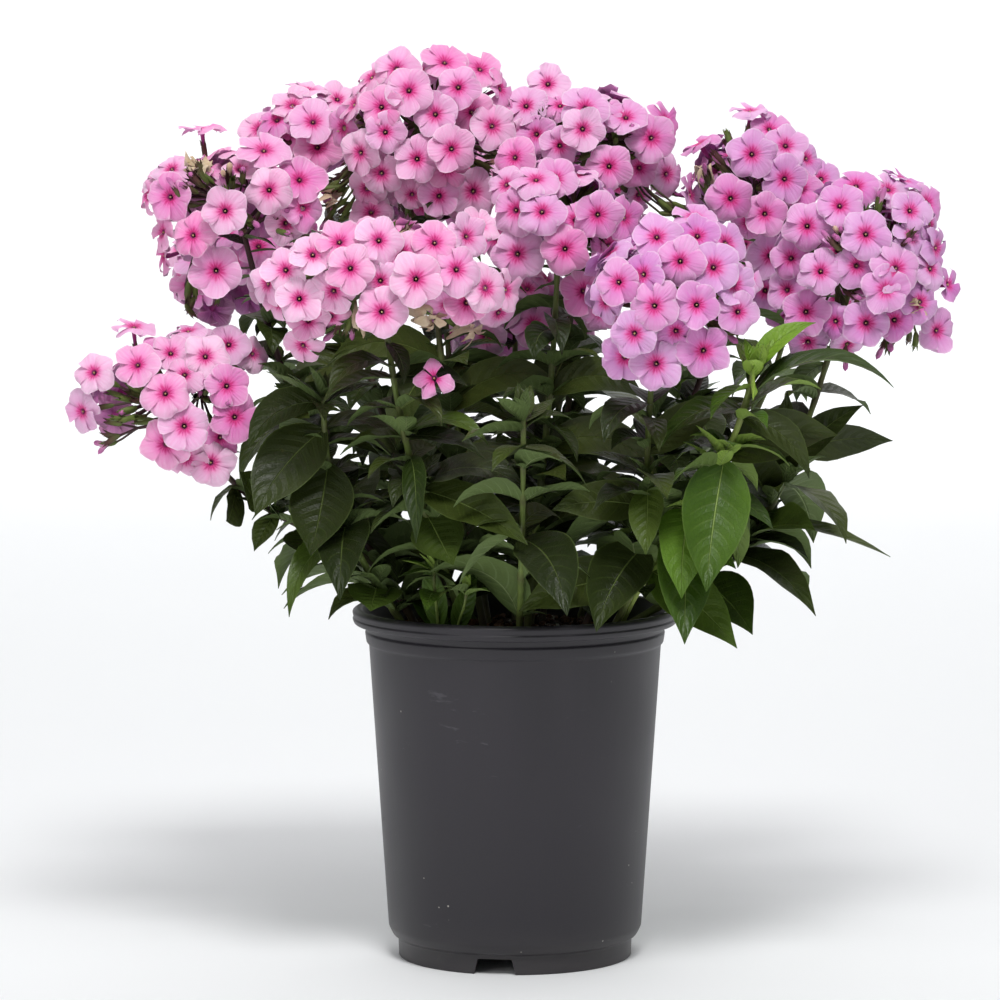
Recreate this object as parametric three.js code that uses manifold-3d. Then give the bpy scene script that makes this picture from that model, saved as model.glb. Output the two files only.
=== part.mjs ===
// A garden phlox in a round plastic nursery pot: a thin-walled pot, its potting mix, and
// flowering shoots that stand in it, each a leafy stem with a domed head of florets on top.
// Units are millimetres, +Z is up, and the origin is on the floor under the pot's middle.

import * as THREE from 'three';
import { mergeVertices } from 'three/addons/utils/BufferGeometryUtils.js';
import Module from 'manifold-3d';

const wasm = await Module();
wasm.setup();

// ---- Driving dimensions ----

const POT_HEIGHT = 178;
const LIP_RADIUS = 82.5;
const LIP_DEPTH = 8;
const WALL_TOP_RADIUS = 74;
const WALL_BOTTOM_RADIUS = 64.3;
const WALL = 1.8;
const FOOT_RADIUS = 59.2;
const FOOT_WIDTH = 4.4;
const FOOT_HEIGHT = 11;
const FLOOR_THICKNESS = 2;
const POT_SIDES = 28;

const NOTCH_COUNT = 3;
const NOTCH_WIDTH = 21;
const NOTCH_HEIGHT = 8;
const NOTCH_ANGLE = -100; // degrees from +X, so the first notch is just left of the front
const DRAIN_RADIUS = 6;
const DRAIN_CIRCLE = 32;

const SOIL_TOP = 163;
const SOIL_RELIEF = 2.2;
const GAP = 0.3; // between pieces that touch

const STEM_SIDES = 4;
const STEM_STEPS = 5; // straight stretches in a stem
const STEM_RADIUS = 2.3;
const STEM_TIP_RADIUS = 1.5;
const STEM_DEPTH = 14; // how far a stem stands in the mix
const STEM_LEAN = 0.012; // how far a stem sets out sideways, for each millimetre off the middle
const STEM_REACH = 0.42; // how far a stem holds its first and last ways, over its length
const AXIS_LEAN = 0.0018; // how far a head leans outwards, for each millimetre off the middle
const NODE_SPACING = 46; // between two pairs of leaves

const LEAF_LENGTH = 78;
const LEAF_ASPECT = 0.24; // half the width over the length
const LEAF_STEPS = 16;
const LEAF_STATIONS = [4, 10, 16]; // where a solid leaf has its corners
const LEAF_KEEL = 0.15; // how deep the midrib stands under the blade, over half the width
const LEAF_KEEL_LEAST = 1.4;
const LEAF_ROOT = 1.2; // how far past the stem's middle a leaf is rooted
const LEAF_NECK = 9; // how near its base a leaf may come to others
const LEAF_LOWEST = 163; // how low a leaf may hang
const LEAF_CLEARANCE = 5.5;
const HEAD_CLEARANCE = 6;

const FLORET_RADIUS = 15.8;
const FLORET_SPACING = 34.5;
const TILT = 0.12; // a floret's lean off the dome's own slope
const SPREAD_ROUNDS = 40;
const FLORET_CUP = 1.4; // how far the throat lies below the petals
const TUBE_RADIUS = 1.7;
const CORE_SHARE = 0.5; // the core's size over the head's
const HEAD_REACH = 106; // degrees from the head's axis down to its last florets

// Each flowering shoot: the middle of its head, the head's half-sizes along X, Y and Z,
// and where its stem leaves the mix. One has an axis of its own, as X and Y over Z.
const SHOOTS = [
  { head: [-171, -20, 281], half: [46, 44, 42], root: [-50, -12], lean: 0.006, reach: 0.46, axis: [-0.75, -0.06] },
  { head: [-139, 5, 376], half: [45, 44, 41], root: [-50, 6] },
  { head: [-103, 80, 412], half: [33, 30, 29], root: [-30, 26] },
  { head: [-48, 20, 418], half: [43, 38, 41], root: [-16, 6] },
  { head: [-65, -110, 351], half: [64, 37, 30], root: [-24, -34] },
  { head: [36, 45, 412], half: [42, 38, 33], root: [8, 14] },
  { head: [22, -30, 374], half: [36, 36, 35], root: [6, -14] },
  { head: [71, -115, 339], half: [46, 44, 41], root: [46, -40] },
  { head: [119, 55, 381], half: [37, 38, 42], root: [36, 14] },
  { head: [170, -25, 350], half: [46, 46, 48], root: [52, -10], lean: 0.032, reach: 0.5 },
  { head: [-138, 110, 345], half: [43, 42, 38], root: [-40, 40] },
  { head: [-42, 110, 386], half: [37, 36, 37], root: [-14, 34] },
  { head: [35, 122, 378], half: [36, 38, 37], root: [14, 40] },
  { head: [150, 125, 335], half: [42, 38, 37], root: [42, 38] },
  { head: [0, 130, 314], half: [46, 33, 28], root: [0, 56] },
];

// One floret that opened by itself on a twig, low on the fifth shoot.
const SIDE_FLORET = { place: [-39, -118, 303], face: [-0.15, -0.9, 0.35], tube: 13 };
const SIDE_FLORET_SHOOT = 4;
const TWIG_SHARE = 0.78; // how far up the stem the twig leaves it
const TWIG_RADIUS = 1;

// Young shoots without flowers: where each leaves the mix, its tip, and its size.
const YOUNG_SHOOTS = [
  { root: [50, -34], tip: [115, -112, 306], size: 1, lean: 0.008, topLean: [0.22, -0.05] },
  { root: [-52, -32], tip: [-94, -66, 290], size: 0.95 },
  { root: [2, -52], tip: [4, -112, 284], size: 0.9 },
  { root: [-34, 54], tip: [-76, 116, 270], size: 0.95 },
  { root: [34, 54], tip: [88, 118, 276], size: 0.95 },
  { root: [-38, -51], tip: [-40, -62, 205], size: 0.5, lean: 0 },
  { root: [-29, -56], tip: [-24, -70, 196], size: 0.42, lean: 0 },
];

// The leaves that show most. Each stands on one of the stems, counted through both lists
// above, at a share of its height. It sets out at `rise` radians above level and bows to its
// tip, with its upper side turned to `face`.
const LARGE_LEAVES = [
  { stem: 15, share: 0.74, tip: [92, -126, 200], rise: -1, width: 15.5, face: [0, -1, 0.2] },
  { stem: 15, share: 0.47, tip: [82, -114, 173], rise: -0.8, width: 13.5, face: [0, -1, 0.2] },
  { stem: 7, share: 0.62, tip: [63, -118, 217], rise: -0.6, width: 8.5, face: [-0.3, -1, 0.2] },
  { stem: 7, share: 0.36, tip: [40, -104, 177], rise: -0.3, width: 14, face: [-0.1, -1, 0.3] },
  { stem: 7, share: 0.22, tip: [2, -88, 185], rise: 0.1, width: 12, face: [0, -1, 0.35] },
  { stem: 7, share: 0.53, tip: [18, -98, 236], rise: 0.3, width: 10.5, face: [0, -1, 0.5] },
  { stem: 4, share: 0.5, tip: [6, -117, 221], rise: -0.1, width: 10.5, face: [0.1, -1, 0.5] },
  { stem: 4, share: 0.62, tip: [-48, -112, 221], rise: -0.1, width: 6.5, face: [-0.6, -1, 0.3] },
  { stem: 4, share: 0.4, tip: [-30, -100, 210], rise: -0.5, width: 12.5, face: [0, -1, 0.4] },
  { stem: 4, share: 0.7, tip: [-13, -112, 267], rise: 0.7, width: 5.5, face: [0, -0.7, 1] },
  { stem: 16, share: 0.9, tip: [-126, -86, 232], rise: -0.5, width: 15, face: [-0.2, -1, 0.3] },
  { stem: 16, share: 0.78, tip: [-101, -113, 229], rise: -0.6, width: 15, face: [-0.1, -1, 0.3] },
  { stem: 16, share: 0.44, tip: [-109, -88, 181], rise: 0.2, width: 7, face: [-0.5, -1, 0.2] },
  { stem: 16, share: 0.22, tip: [-71, -72, 184], rise: -0.1, width: 13, face: [0, -1, 0.3] },
  { stem: 0, share: 0.74, tip: [-130, -36, 210], rise: -0.6, width: 6, face: [-0.3, -1, 0.3] },
  { stem: 0, share: 0.6, tip: [-108, -46, 212], rise: -0.6, width: 10, face: [0, -1, 0.4] },
  { stem: 20, share: 0.12, tip: [-42, -61, 209], rise: 1.45, width: 6, face: [0, -1, 0.3] },
  { stem: 21, share: 0.12, tip: [-18, -72, 201], rise: 1.3, width: 5, face: [0.2, -1, 0.4] },
  { stem: 15, share: 0.22, tip: [108, -94, 168], rise: -0.3, width: 12.5, face: [0, -1, 0.3] },
  { stem: 9, share: 0.22, tip: [117, -66, 171], rise: -0.1, width: 13, face: [0.1, -1, 0.3] },
  { stem: 9, share: 0.34, tip: [147, -80, 181], rise: 0.1, width: 9.5, face: [0.4, -1, 0.3] },
  { stem: 9, share: 0.42, tip: [148, -66, 222], rise: 0.5, width: 11, face: [0, -1, 0.9] },
  { stem: 9, share: 0.5, tip: [185, -40, 205], rise: -0.1, width: 5.5, face: [0.4, -0.6, 1] },
  { stem: 9, share: 0.7, tip: [172, -56, 284], rise: 0.8, width: 7.5, face: [0, -1, 0.3] },
  { stem: 15, share: 0.74, tip: [158, -76, 270], rise: 0.5, width: 12, face: [0, -1, 0.4] },
  { stem: 9, share: 0.46, tip: [132, 12, 212], rise: 0.5, width: 11, face: [0, 0.6, 0.8] },
  { stem: 15, share: 0.92, tip: [182, -118, 294], rise: 0.95, width: 9, face: [0.1, -0.3, 1] },
  { stem: 15, share: 1, tip: [121, -142, 311], rise: 0.6, width: 7, face: [0.6, -1, 0.2] },
  { stem: 15, share: 1, tip: [141, -86, 317], rise: 0.8, width: 6, face: [0, -1, 0.6] },
  { stem: 15, share: 1, tip: [137, -103, 331], rise: 1.2, width: 4.5, face: [0, -1, 0.8] },
  { stem: 15, share: 0.88, tip: [141, -106, 252], rise: -0.2, width: 7.5, face: [0.6, -1, 0.3] },
  { stem: 9, share: 0.56, tip: [113, -56, 271], rise: 0.6, width: 11, face: [0, -1, 0.4] },
  { stem: 9, share: 0.74, tip: [168, -48, 290], rise: 0.9, width: 9, face: [0.2, -1, 0.4] },
  { stem: 9, share: 0.64, tip: [134, -62, 292], rise: 0.9, width: 8, face: [-0.2, -1, 0.5] },
  { stem: 0, share: 0.8, tip: [-144, -44, 251], rise: 0.5, width: 9, face: [0, -1, 0.5] },
  { stem: 0, share: 0.9, tip: [-170, -44, 229], rise: -0.9, width: 7.5, face: [0, -1, 0.2] },
  { stem: 16, share: 0.98, tip: [-129, -84, 264], rise: 0.2, width: 9, face: [-0.2, -1, 0.6] },
  { stem: 16, share: 1, tip: [-77, -96, 294], rise: 0.9, width: 9, face: [0, -1, 0.6] },
  { stem: 6, share: 0.7, tip: [64, -50, 284], rise: 0.7, width: 9, face: [0, -1, 0.4] },
  { stem: 6, share: 0.52, tip: [70, -44, 246], rise: 0.6, width: 10, face: [0, -1, 0.4] },
  { stem: 7, share: 0.74, tip: [104, -84, 288], rise: 0.8, width: 9, face: [0, -1, 0.4] },
  { stem: 1, share: 0.68, tip: [-132, -34, 260], rise: -0.2, width: 7, face: [-0.3, -1, 0.3] },
  { stem: 3, share: 0.62, tip: [-94, -28, 298], rise: 0.7, width: 9.5, face: [0, -1, 0.4] },
  { stem: 3, share: 0.5, tip: [22, -20, 290], rise: 0.9, width: 9.5, face: [0, -1, 0.4] },
];

// ---- Helpers ----

const UP = new THREE.Vector3(0, 0, 1);

function vector(list) {
  return new THREE.Vector3(...list);
}

// Park and Miller's generator: the same seed always gives the same plant.
function generator(seed) {
  let state = seed;
  return (low, high) => {
    state = (state * 16807) % 2147483647;
    return low + ((high - low) * state) / 2147483647;
  };
}

function geometryOf(points, faces) {
  const geometry = new THREE.BufferGeometry();
  geometry.setAttribute('position', new THREE.Float32BufferAttribute(points.flat(), 3));
  geometry.setIndex(faces.flat());
  return geometry;
}

function toSolid(geometry) {
  const bare = geometry.clone();
  bare.deleteAttribute('normal');
  bare.deleteAttribute('uv');
  const merged = mergeVertices(bare, 1e-4);
  return new wasm.Manifold(new wasm.Mesh({
    numProp: 3,
    vertProperties: new Float32Array(merged.attributes.position.array),
    triVerts: new Uint32Array(merged.index.array),
  }));
}

function toGeometry(solid) {
  const mesh = solid.getMesh();
  const geometry = new THREE.BufferGeometry();
  geometry.setAttribute('position', new THREE.BufferAttribute(mesh.vertProperties, 3));
  geometry.setIndex(new THREE.BufferAttribute(mesh.triVerts, 1));
  return geometry;
}

// Joins solids in pairs, so that each step joins two of about the same size.
function joined(solids) {
  let left = solids;
  while (left.length > 1) {
    const next = [];
    for (let i = 0; i + 1 < left.length; i += 2) {
      next.push(left[i].add(left[i + 1]));
    }
    if (left.length % 2) {
      next.push(left[left.length - 1]);
    }
    left = next;
  }
  return left[0];
}

// A skin over rings with the same number of points, closed by a flat cap or by a single
// point at either end. Rings turn anticlockwise seen from the last one.
function skin(rings) {
  const points = rings.flat().map((p) => p.toArray());
  const starts = [];
  let next = 0;
  for (const ring of rings) {
    starts.push(next);
    next += ring.length;
  }
  const faces = [];
  for (let r = 0; r + 1 < rings.length; r++) {
    const [a, b] = [starts[r], starts[r + 1]];
    const [na, nb] = [rings[r].length, rings[r + 1].length];
    for (let i = 0; i < Math.max(na, nb); i++) {
      const j = i + 1;
      if (na > 1) {
        faces.push([a + (i % na), a + (j % na), b + (nb > 1 ? j % nb : 0)]);
      }
      if (nb > 1) {
        faces.push([a + (na > 1 ? i % na : 0), b + (j % nb), b + (i % nb)]);
      }
    }
  }
  for (let i = 1; i + 1 < rings[0].length; i++) {
    faces.push([0, i + 1, i]);
  }
  const last = starts[starts.length - 1];
  for (let i = 1; i + 1 < rings[rings.length - 1].length; i++) {
    faces.push([last, last + i, last + i + 1]);
  }
  return geometryOf(points, faces);
}

// A tapered round rod through a list of points.
function rod(path, radii, sides) {
  const rings = path.map((point, i) => {
    const before = path[Math.max(i - 1, 0)];
    const after = path[Math.min(i + 1, path.length - 1)];
    const along = after.clone().sub(before).normalize();
    const u = new THREE.Vector3(0, 1, 0).cross(along).normalize();
    const v = along.clone().cross(u);
    return Array.from({ length: sides }, (_, k) => {
      const turn = (2 * Math.PI * k) / sides;
      return point.clone()
        .addScaledVector(u, radii[i] * Math.cos(turn))
        .addScaledVector(v, radii[i] * Math.sin(turn));
    });
  });
  return skin(rings);
}

// ---- Pot ----

function potProfile() {
  const lipTop = POT_HEIGHT;
  const lipBottom = POT_HEIGHT - LIP_DEPTH;
  const neck = lipBottom - 9;
  return [
    [0, FOOT_HEIGHT],
    [FOOT_RADIUS - FOOT_WIDTH, FOOT_HEIGHT],
    [FOOT_RADIUS - FOOT_WIDTH, 0],
    [FOOT_RADIUS, 0],
    [FOOT_RADIUS, FOOT_HEIGHT - 0.8],
    [WALL_BOTTOM_RADIUS - 2.2, FOOT_HEIGHT],
    [WALL_BOTTOM_RADIUS, FOOT_HEIGHT + 4.5],
    [WALL_TOP_RADIUS, neck],
    [WALL_TOP_RADIUS + 2.2, lipBottom],
    [LIP_RADIUS - 0.6, lipBottom],
    [LIP_RADIUS, lipTop - 2],
    [LIP_RADIUS - 2.4, lipTop],
    [LIP_RADIUS - 5, lipTop - 0.4],
    [WALL_TOP_RADIUS - WALL, neck],
    [WALL_BOTTOM_RADIUS - WALL, FOOT_HEIGHT + FLOOR_THICKNESS],
    [0, FOOT_HEIGHT + FLOOR_THICKNESS],
  ];
}

function lathe(profile, sides) {
  const geometry = new THREE.LatheGeometry(profile.map(([r, z]) => new THREE.Vector2(r, z)), sides);
  geometry.rotateX(Math.PI / 2);
  return geometry;
}

function notchCutter(angle) {
  const shape = new THREE.Shape();
  shape.moveTo(-NOTCH_WIDTH / 2, -1);
  shape.lineTo(NOTCH_WIDTH / 2, -1);
  shape.lineTo(NOTCH_WIDTH / 2 - 2, NOTCH_HEIGHT);
  shape.lineTo(-NOTCH_WIDTH / 2 + 2, NOTCH_HEIGHT);
  const depth = FOOT_WIDTH + 8;
  const geometry = new THREE.ExtrudeGeometry(shape, { depth, bevelEnabled: false, steps: 1 });
  geometry.rotateX(Math.PI / 2);
  geometry.rotateZ(Math.PI / 2);
  geometry.translate(FOOT_RADIUS + 3 - depth, 0, 0);
  geometry.rotateZ(THREE.MathUtils.degToRad(angle));
  return geometry;
}

function potGeometry() {
  let pot = toSolid(lathe(potProfile(), POT_SIDES));
  for (let i = 0; i < NOTCH_COUNT; i++) {
    pot = pot.subtract(toSolid(notchCutter(NOTCH_ANGLE + (360 * i) / NOTCH_COUNT)));
    const turn = THREE.MathUtils.degToRad(45 + (360 * i) / NOTCH_COUNT);
    const drain = new THREE.CylinderGeometry(DRAIN_RADIUS, DRAIN_RADIUS, 3 * FLOOR_THICKNESS, 12);
    drain.rotateX(Math.PI / 2);
    drain.translate(DRAIN_CIRCLE * Math.cos(turn), DRAIN_CIRCLE * Math.sin(turn), FOOT_HEIGHT);
    pot = pot.subtract(toSolid(drain));
  }
  return toGeometry(pot);
}

// ---- Potting mix ----

function soilHeight(x, y) {
  const wave = Math.sin(0.11 * x + 0.7) * Math.cos(0.13 * y) + 0.6 * Math.sin(0.21 * x - 0.17 * y);
  return SOIL_TOP + SOIL_RELIEF * wave;
}

function wallInside(z) {
  const low = FOOT_HEIGHT + FLOOR_THICKNESS;
  const high = POT_HEIGHT - LIP_DEPTH - 9;
  const share = THREE.MathUtils.clamp((z - low) / (high - low), 0, 1);
  return THREE.MathUtils.lerp(WALL_BOTTOM_RADIUS, WALL_TOP_RADIUS, share) - WALL;
}

function soilGeometry(feet) {
  const sides = 20;
  const facet = Math.cos(Math.PI / POT_SIDES); // the pot's flats lie this much nearer
  const circle = (radius, height) => Array.from({ length: sides }, (_, k) => {
    const turn = (2 * Math.PI * k) / sides;
    const [x, y] = [radius * Math.cos(turn), radius * Math.sin(turn)];
    return new THREE.Vector3(x, y, height ?? soilHeight(x, y));
  });
  const floor = FOOT_HEIGHT + FLOOR_THICKNESS + GAP;
  const edge = wallInside(SOIL_TOP - SOIL_RELIEF * 2) * facet - GAP;
  const rings = [
    circle(wallInside(0) * facet - GAP, floor),
    circle(edge, null),
    circle(0.55 * edge, null),
    [new THREE.Vector3(0, 0, soilHeight(0, 0))],
  ];
  let soil = toSolid(skin(rings));
  for (const foot of feet) {
    const hole = [foot.base.clone(), foot.base.clone()];
    hole[0].z -= GAP;
    hole[1].z = SOIL_TOP + 10;
    const radius = foot.radius + GAP / Math.cos(Math.PI / STEM_SIDES);
    soil = soil.subtract(toSolid(rod(hole, [radius, radius], STEM_SIDES)));
  }
  return toGeometry(soil);
}

// ---- Stems ----

// The way a shoot grows: outwards from the pot's middle, then in one bow to its top.
function stemCurve({ root, lean = STEM_LEAN, reach = STEM_REACH }, top, topDirection) {
  const start = new THREE.Vector3(root[0], root[1], SOIL_TOP + 4);
  const handle = reach * start.distanceTo(top);
  const outwards = new THREE.Vector3(root[0] * lean, root[1] * lean, 1).normalize();
  const lower = start.clone().addScaledVector(outwards, handle);
  const upper = top.clone().addScaledVector(topDirection, -handle);
  return new THREE.CubicBezierCurve3(start, lower, upper, top);
}

function headAxis({ head, axis = [head[0] * AXIS_LEAN, head[1] * AXIS_LEAN] }) {
  return new THREE.Vector3(...axis, 1).normalize();
}

// Where the stem ends and the head's own stalk begins.
function headFoot(shoot) {
  const axis = headAxis(shoot);
  const centre = vector(shoot.head);
  return centre.addScaledVector(axis, -0.8 * shoot.half[2]);
}

function stemPath(curve) {
  const start = curve.getPoint(0);
  const foot = start.clone();
  foot.z = SOIL_TOP - STEM_DEPTH;
  return [foot, ...curve.getPoints(STEM_STEPS)];
}

// A place on the straight stretches between the curve's points.
function stemPoint(curve, share) {
  const points = curve.getPoints(STEM_STEPS);
  const stretch = Math.min(Math.floor(share * STEM_STEPS), STEM_STEPS - 1);
  return points[stretch].clone().lerp(points[stretch + 1], share * STEM_STEPS - stretch);
}

function stemRadii(count, thickness) {
  return Array.from({ length: count }, (_, i) => {
    return thickness * THREE.MathUtils.lerp(STEM_RADIUS, STEM_TIP_RADIUS, i / (count - 1));
  });
}

// ---- Leaves ----

// A leaf is a chain of places along its midrib, each with its sideways and upward
// directions and half its width.
function leafChain(leaf) {
  const chain = [];
  const place = leaf.base.clone();
  for (let i = 0; i <= LEAF_STEPS; i++) {
    const t = i / LEAF_STEPS;
    const turn = leaf.azimuth + leaf.bend * t;
    const pitch = leaf.rise + (leaf.droop - leaf.rise) * t;
    const out = new THREE.Vector3(Math.cos(turn), Math.sin(turn), 0);
    const along = out.clone().multiplyScalar(Math.cos(pitch)).addScaledVector(UP, Math.sin(pitch));
    const level = new THREE.Vector3(-Math.sin(turn), Math.cos(turn), 0);
    const above = along.clone().cross(level);
    const side = level.clone().multiplyScalar(Math.cos(leaf.roll))
      .addScaledVector(above, Math.sin(leaf.roll));
    const normal = above.clone().multiplyScalar(Math.cos(leaf.roll))
      .addScaledVector(level, -Math.sin(leaf.roll));
    const blade = Math.sin(Math.PI * t ** 0.75) ** 0.9;
    const width = leaf.width * blade;
    chain.push({ place: place.clone(), along, side, normal, width });
    place.addScaledVector(along, leaf.length / LEAF_STEPS);
  }
  return chain;
}

function bladePoint(station, across) {
  return station.place.clone().addScaledVector(station.side, across * station.width);
}

// Points on a leaf as it grows, and on the straight edges of the solid that stands for it.
function leafSamples(chain) {
  const samples = [];
  const length = chain[1].place.distanceTo(chain[0].place) * LEAF_STEPS;
  for (let i = Math.max(3, Math.ceil((LEAF_NECK / length) * LEAF_STEPS)); i <= LEAF_STEPS; i++) {
    const end = Math.max(1, LEAF_STATIONS.findIndex((station) => station >= i));
    const [low, high] = [LEAF_STATIONS[end - 1], LEAF_STATIONS[end]];
    const share = (i - low) / (high - low);
    for (const across of [-1, -0.5, 0, 0.5, 1]) {
      samples.push(bladePoint(chain[i], across));
      samples.push(bladePoint(chain[low], across).lerp(bladePoint(chain[high], across), share));
    }
  }
  return samples;
}

function leafGeometry(leaf) {
  const chain = leafChain(leaf);
  const root = leaf.base.clone().addScaledVector(chain[0].along, -LEAF_ROOT);
  const rings = LEAF_STATIONS.map((i) => {
    const station = chain[i];
    if (i === LEAF_STEPS) {
      return [station.place];
    }
    const keel = Math.max(LEAF_KEEL_LEAST, LEAF_KEEL * station.width);
    const under = station.place.clone().addScaledVector(station.normal, -keel);
    return [bladePoint(station, -1), under, bladePoint(station, 1)];
  });
  return skin([[root], ...rings]);
}

function insideHead(point, shoot) {
  const [x, y, z] = vector(shoot.head).sub(point).toArray();
  const [a, b, c] = shoot.half.map((half) => half + HEAD_CLEARANCE);
  return (x / a) ** 2 + (y / b) ** 2 + (z / c) ** 2 < 1;
}

function insidePot(point) {
  const radius = Math.hypot(point.x, point.y);
  if (point.z > POT_HEIGHT + 4 || radius > LIP_RADIUS + 4) {
    return false;
  }
  return radius > LIP_RADIUS - 14 || point.z < SOIL_TOP + 8;
}

// What the plant fills already: points on stems and leaves, sorted into cubes.
const CELL = LEAF_CLEARANCE;
const taken = new Map();

function cellOf(x, y, z) {
  return `${Math.floor(x / CELL)},${Math.floor(y / CELL)},${Math.floor(z / CELL)}`;
}

function take(points, stem) {
  for (const point of points) {
    const key = cellOf(point.x, point.y, point.z);
    if (!taken.has(key)) {
      taken.set(key, []);
    }
    taken.get(key).push({ point, stem });
  }
}

// Whether something other than the leaf's own stem is too near.
function isTaken(point, stem) {
  for (const dx of [-CELL, 0, CELL]) {
    for (const dy of [-CELL, 0, CELL]) {
      for (const dz of [-CELL, 0, CELL]) {
        for (const other of taken.get(cellOf(point.x + dx, point.y + dy, point.z + dz)) ?? []) {
          if (other.stem !== stem && other.point.distanceTo(point) < LEAF_CLEARANCE) {
            return true;
          }
        }
      }
    }
  }
  return false;
}

function isClear(leaf, stem) {
  return leafSamples(leafChain(leaf)).every((point) => {
    return point.z > LEAF_LOWEST && !insidePot(point) && !SHOOTS.some((shoot) => insideHead(point, shoot))
      && !isTaken(point, stem);
  });
}

// A leaf that would cross what is there turns, lifts or stays shorter until it is clear.
const SIZES = [1, 0.85, 0.7, 0.55];
const LIFTS = [0, 0.3, -0.3, 0.6, -0.6];
const TURNS = [0, 0.26, -0.26, 0.52, -0.52, 0.78, -0.78];

function clearLeaf(wanted, stem) {
  for (const size of SIZES) {
    for (const lift of LIFTS) {
      for (const turn of TURNS) {
        const leaf = {
          ...wanted,
          length: wanted.length * size,
          width: wanted.width * size,
          rise: wanted.rise + lift,
          droop: wanted.droop + lift,
          azimuth: wanted.azimuth + turn,
        };
        if (isClear(leaf, stem)) {
          return leaf;
        }
      }
    }
  }
  return null;
}

// A leaf that bows evenly from its stem to a given tip.
function leafToTip(curve, { share, tip, rise, width, face }) {
  const base = stemPoint(curve, share);
  const way = vector(tip).sub(base);
  const chord = Math.atan2(way.z, Math.hypot(way.x, way.y));
  const bow = chord - rise;
  const azimuth = Math.atan2(way.y, way.x);
  const level = new THREE.Vector3(-Math.sin(azimuth), Math.cos(azimuth), 0);
  const above = way.clone().normalize().cross(level);
  const turned = vector(face);
  return {
    base,
    azimuth,
    bend: 0,
    rise,
    droop: chord + bow,
    roll: Math.atan2(-turned.dot(level), turned.dot(above)),
    length: (way.length() * bow) / Math.sin(bow),
    width,
  };
}

// Opposite pairs, each a quarter turn on from the one below.
function leavesOf(curve, owner, size, upright) {
  const random = generator(7919 * (owner + 1));
  const length = curve.getLength();
  const pairs = Math.max(2, Math.round((length * 0.86) / (NODE_SPACING * Math.sqrt(size))));
  const first = random(0, Math.PI);
  const leaves = [];
  for (let pair = 0; pair < pairs; pair++) {
    const share = 0.1 + (0.8 * pair) / (pairs - 1);
    const base = stemPoint(curve, share);
    for (let which = 0; which < 2; which++) {
      const grown = size * (1 - 0.5 * share ** 2) * random(0.82, 1.08);
      const wanted = {
        base,
        azimuth: first + (pair * Math.PI) / 2 + which * Math.PI + random(-0.3, 0.3),
        bend: random(-0.4, 0.4),
        rise: random(-0.1, 0.65) + upright + 0.6 * (1 - share) ** 3,
        droop: random(-1.5, -0.85) + upright * 2,
        roll: random(-0.5, 0.5),
        length: LEAF_LENGTH * grown,
        width: LEAF_LENGTH * LEAF_ASPECT * grown * (1 - 0.25 * share) * random(0.9, 1.1),
      };
      const leaf = clearLeaf(wanted, owner);
      if (leaf) {
        leaves.push(leaf);
        take(leafSamples(leafChain(leaf)), null);
      }
    }
  }
  return leaves;
}

// ---- Heads ----

// Two directions square to an axis.
function acrossOf(axis) {
  const u = new THREE.Vector3(0, 1, 0).cross(axis).normalize();
  return [u, axis.clone().cross(u)];
}

// How many florets cover a head: the dome's area over the area that each takes.
function floretCount(half, lowest) {
  const p = 1.6;
  const [ab, ac, bc] = [half.x * half.y, half.x * half.z, half.y * half.z];
  const area = 4 * Math.PI * ((ab ** p + ac ** p + bc ** p) / 3) ** (1 / p);
  return Math.round((area * (1 - lowest)) / 2 / (0.87 * FLORET_SPACING ** 2));
}

// Moves the ways out of a head's middle apart until their florets are evenly spaced.
function spread(ways, half, axis, lowest) {
  for (let round = 0; round < SPREAD_ROUNDS; round++) {
    for (const way of ways) {
      const place = way.clone().multiply(half);
      for (const other of ways) {
        const apart = place.clone().sub(other.clone().multiply(half));
        const distance = apart.length();
        if (distance > 0 && distance < FLORET_SPACING) {
          place.addScaledVector(apart, (0.3 * (FLORET_SPACING - distance)) / distance);
        }
      }
      way.copy(place.divide(half)).normalize();
      const below = lowest - way.dot(axis);
      if (below > 0) {
        way.addScaledVector(axis, below).normalize();
      }
    }
  }
}

// The florets' places: a spiral over the dome, evened out, and each a little out of line.
function floretsOf(shoot, index) {
  const random = generator(104729 + 31 * index);
  const axis = headAxis(shoot);
  const [u, v] = acrossOf(axis);
  const half = vector(shoot.half);
  const lowest = Math.cos(THREE.MathUtils.degToRad(HEAD_REACH));
  const count = floretCount(half, lowest);
  const goldenAngle = Math.PI * (3 - Math.sqrt(5));
  const ways = Array.from({ length: count }, (_, i) => {
    const height = 1 - (1 - lowest) * ((i + 0.5) / count);
    const ring = Math.sqrt(1 - height * height);
    return axis.clone().multiplyScalar(height)
      .addScaledVector(u, ring * Math.cos(goldenAngle * i))
      .addScaledVector(v, ring * Math.sin(goldenAngle * i));
  });
  spread(ways, half, axis, lowest);
  return ways.map((way) => {
    const place = vector(shoot.head).addScaledVector(way.clone().multiply(half), random(0.93, 1.03));
    const face = way.clone().divide(half).normalize()
      .addScaledVector(u, random(-TILT, TILT))
      .addScaledVector(v, random(-TILT, TILT))
      .addScaledVector(UP, 0.12)
      .normalize();
    return { place, face, roll: random(0, 2 * Math.PI), size: random(0.93, 1) };
  });
}

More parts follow.
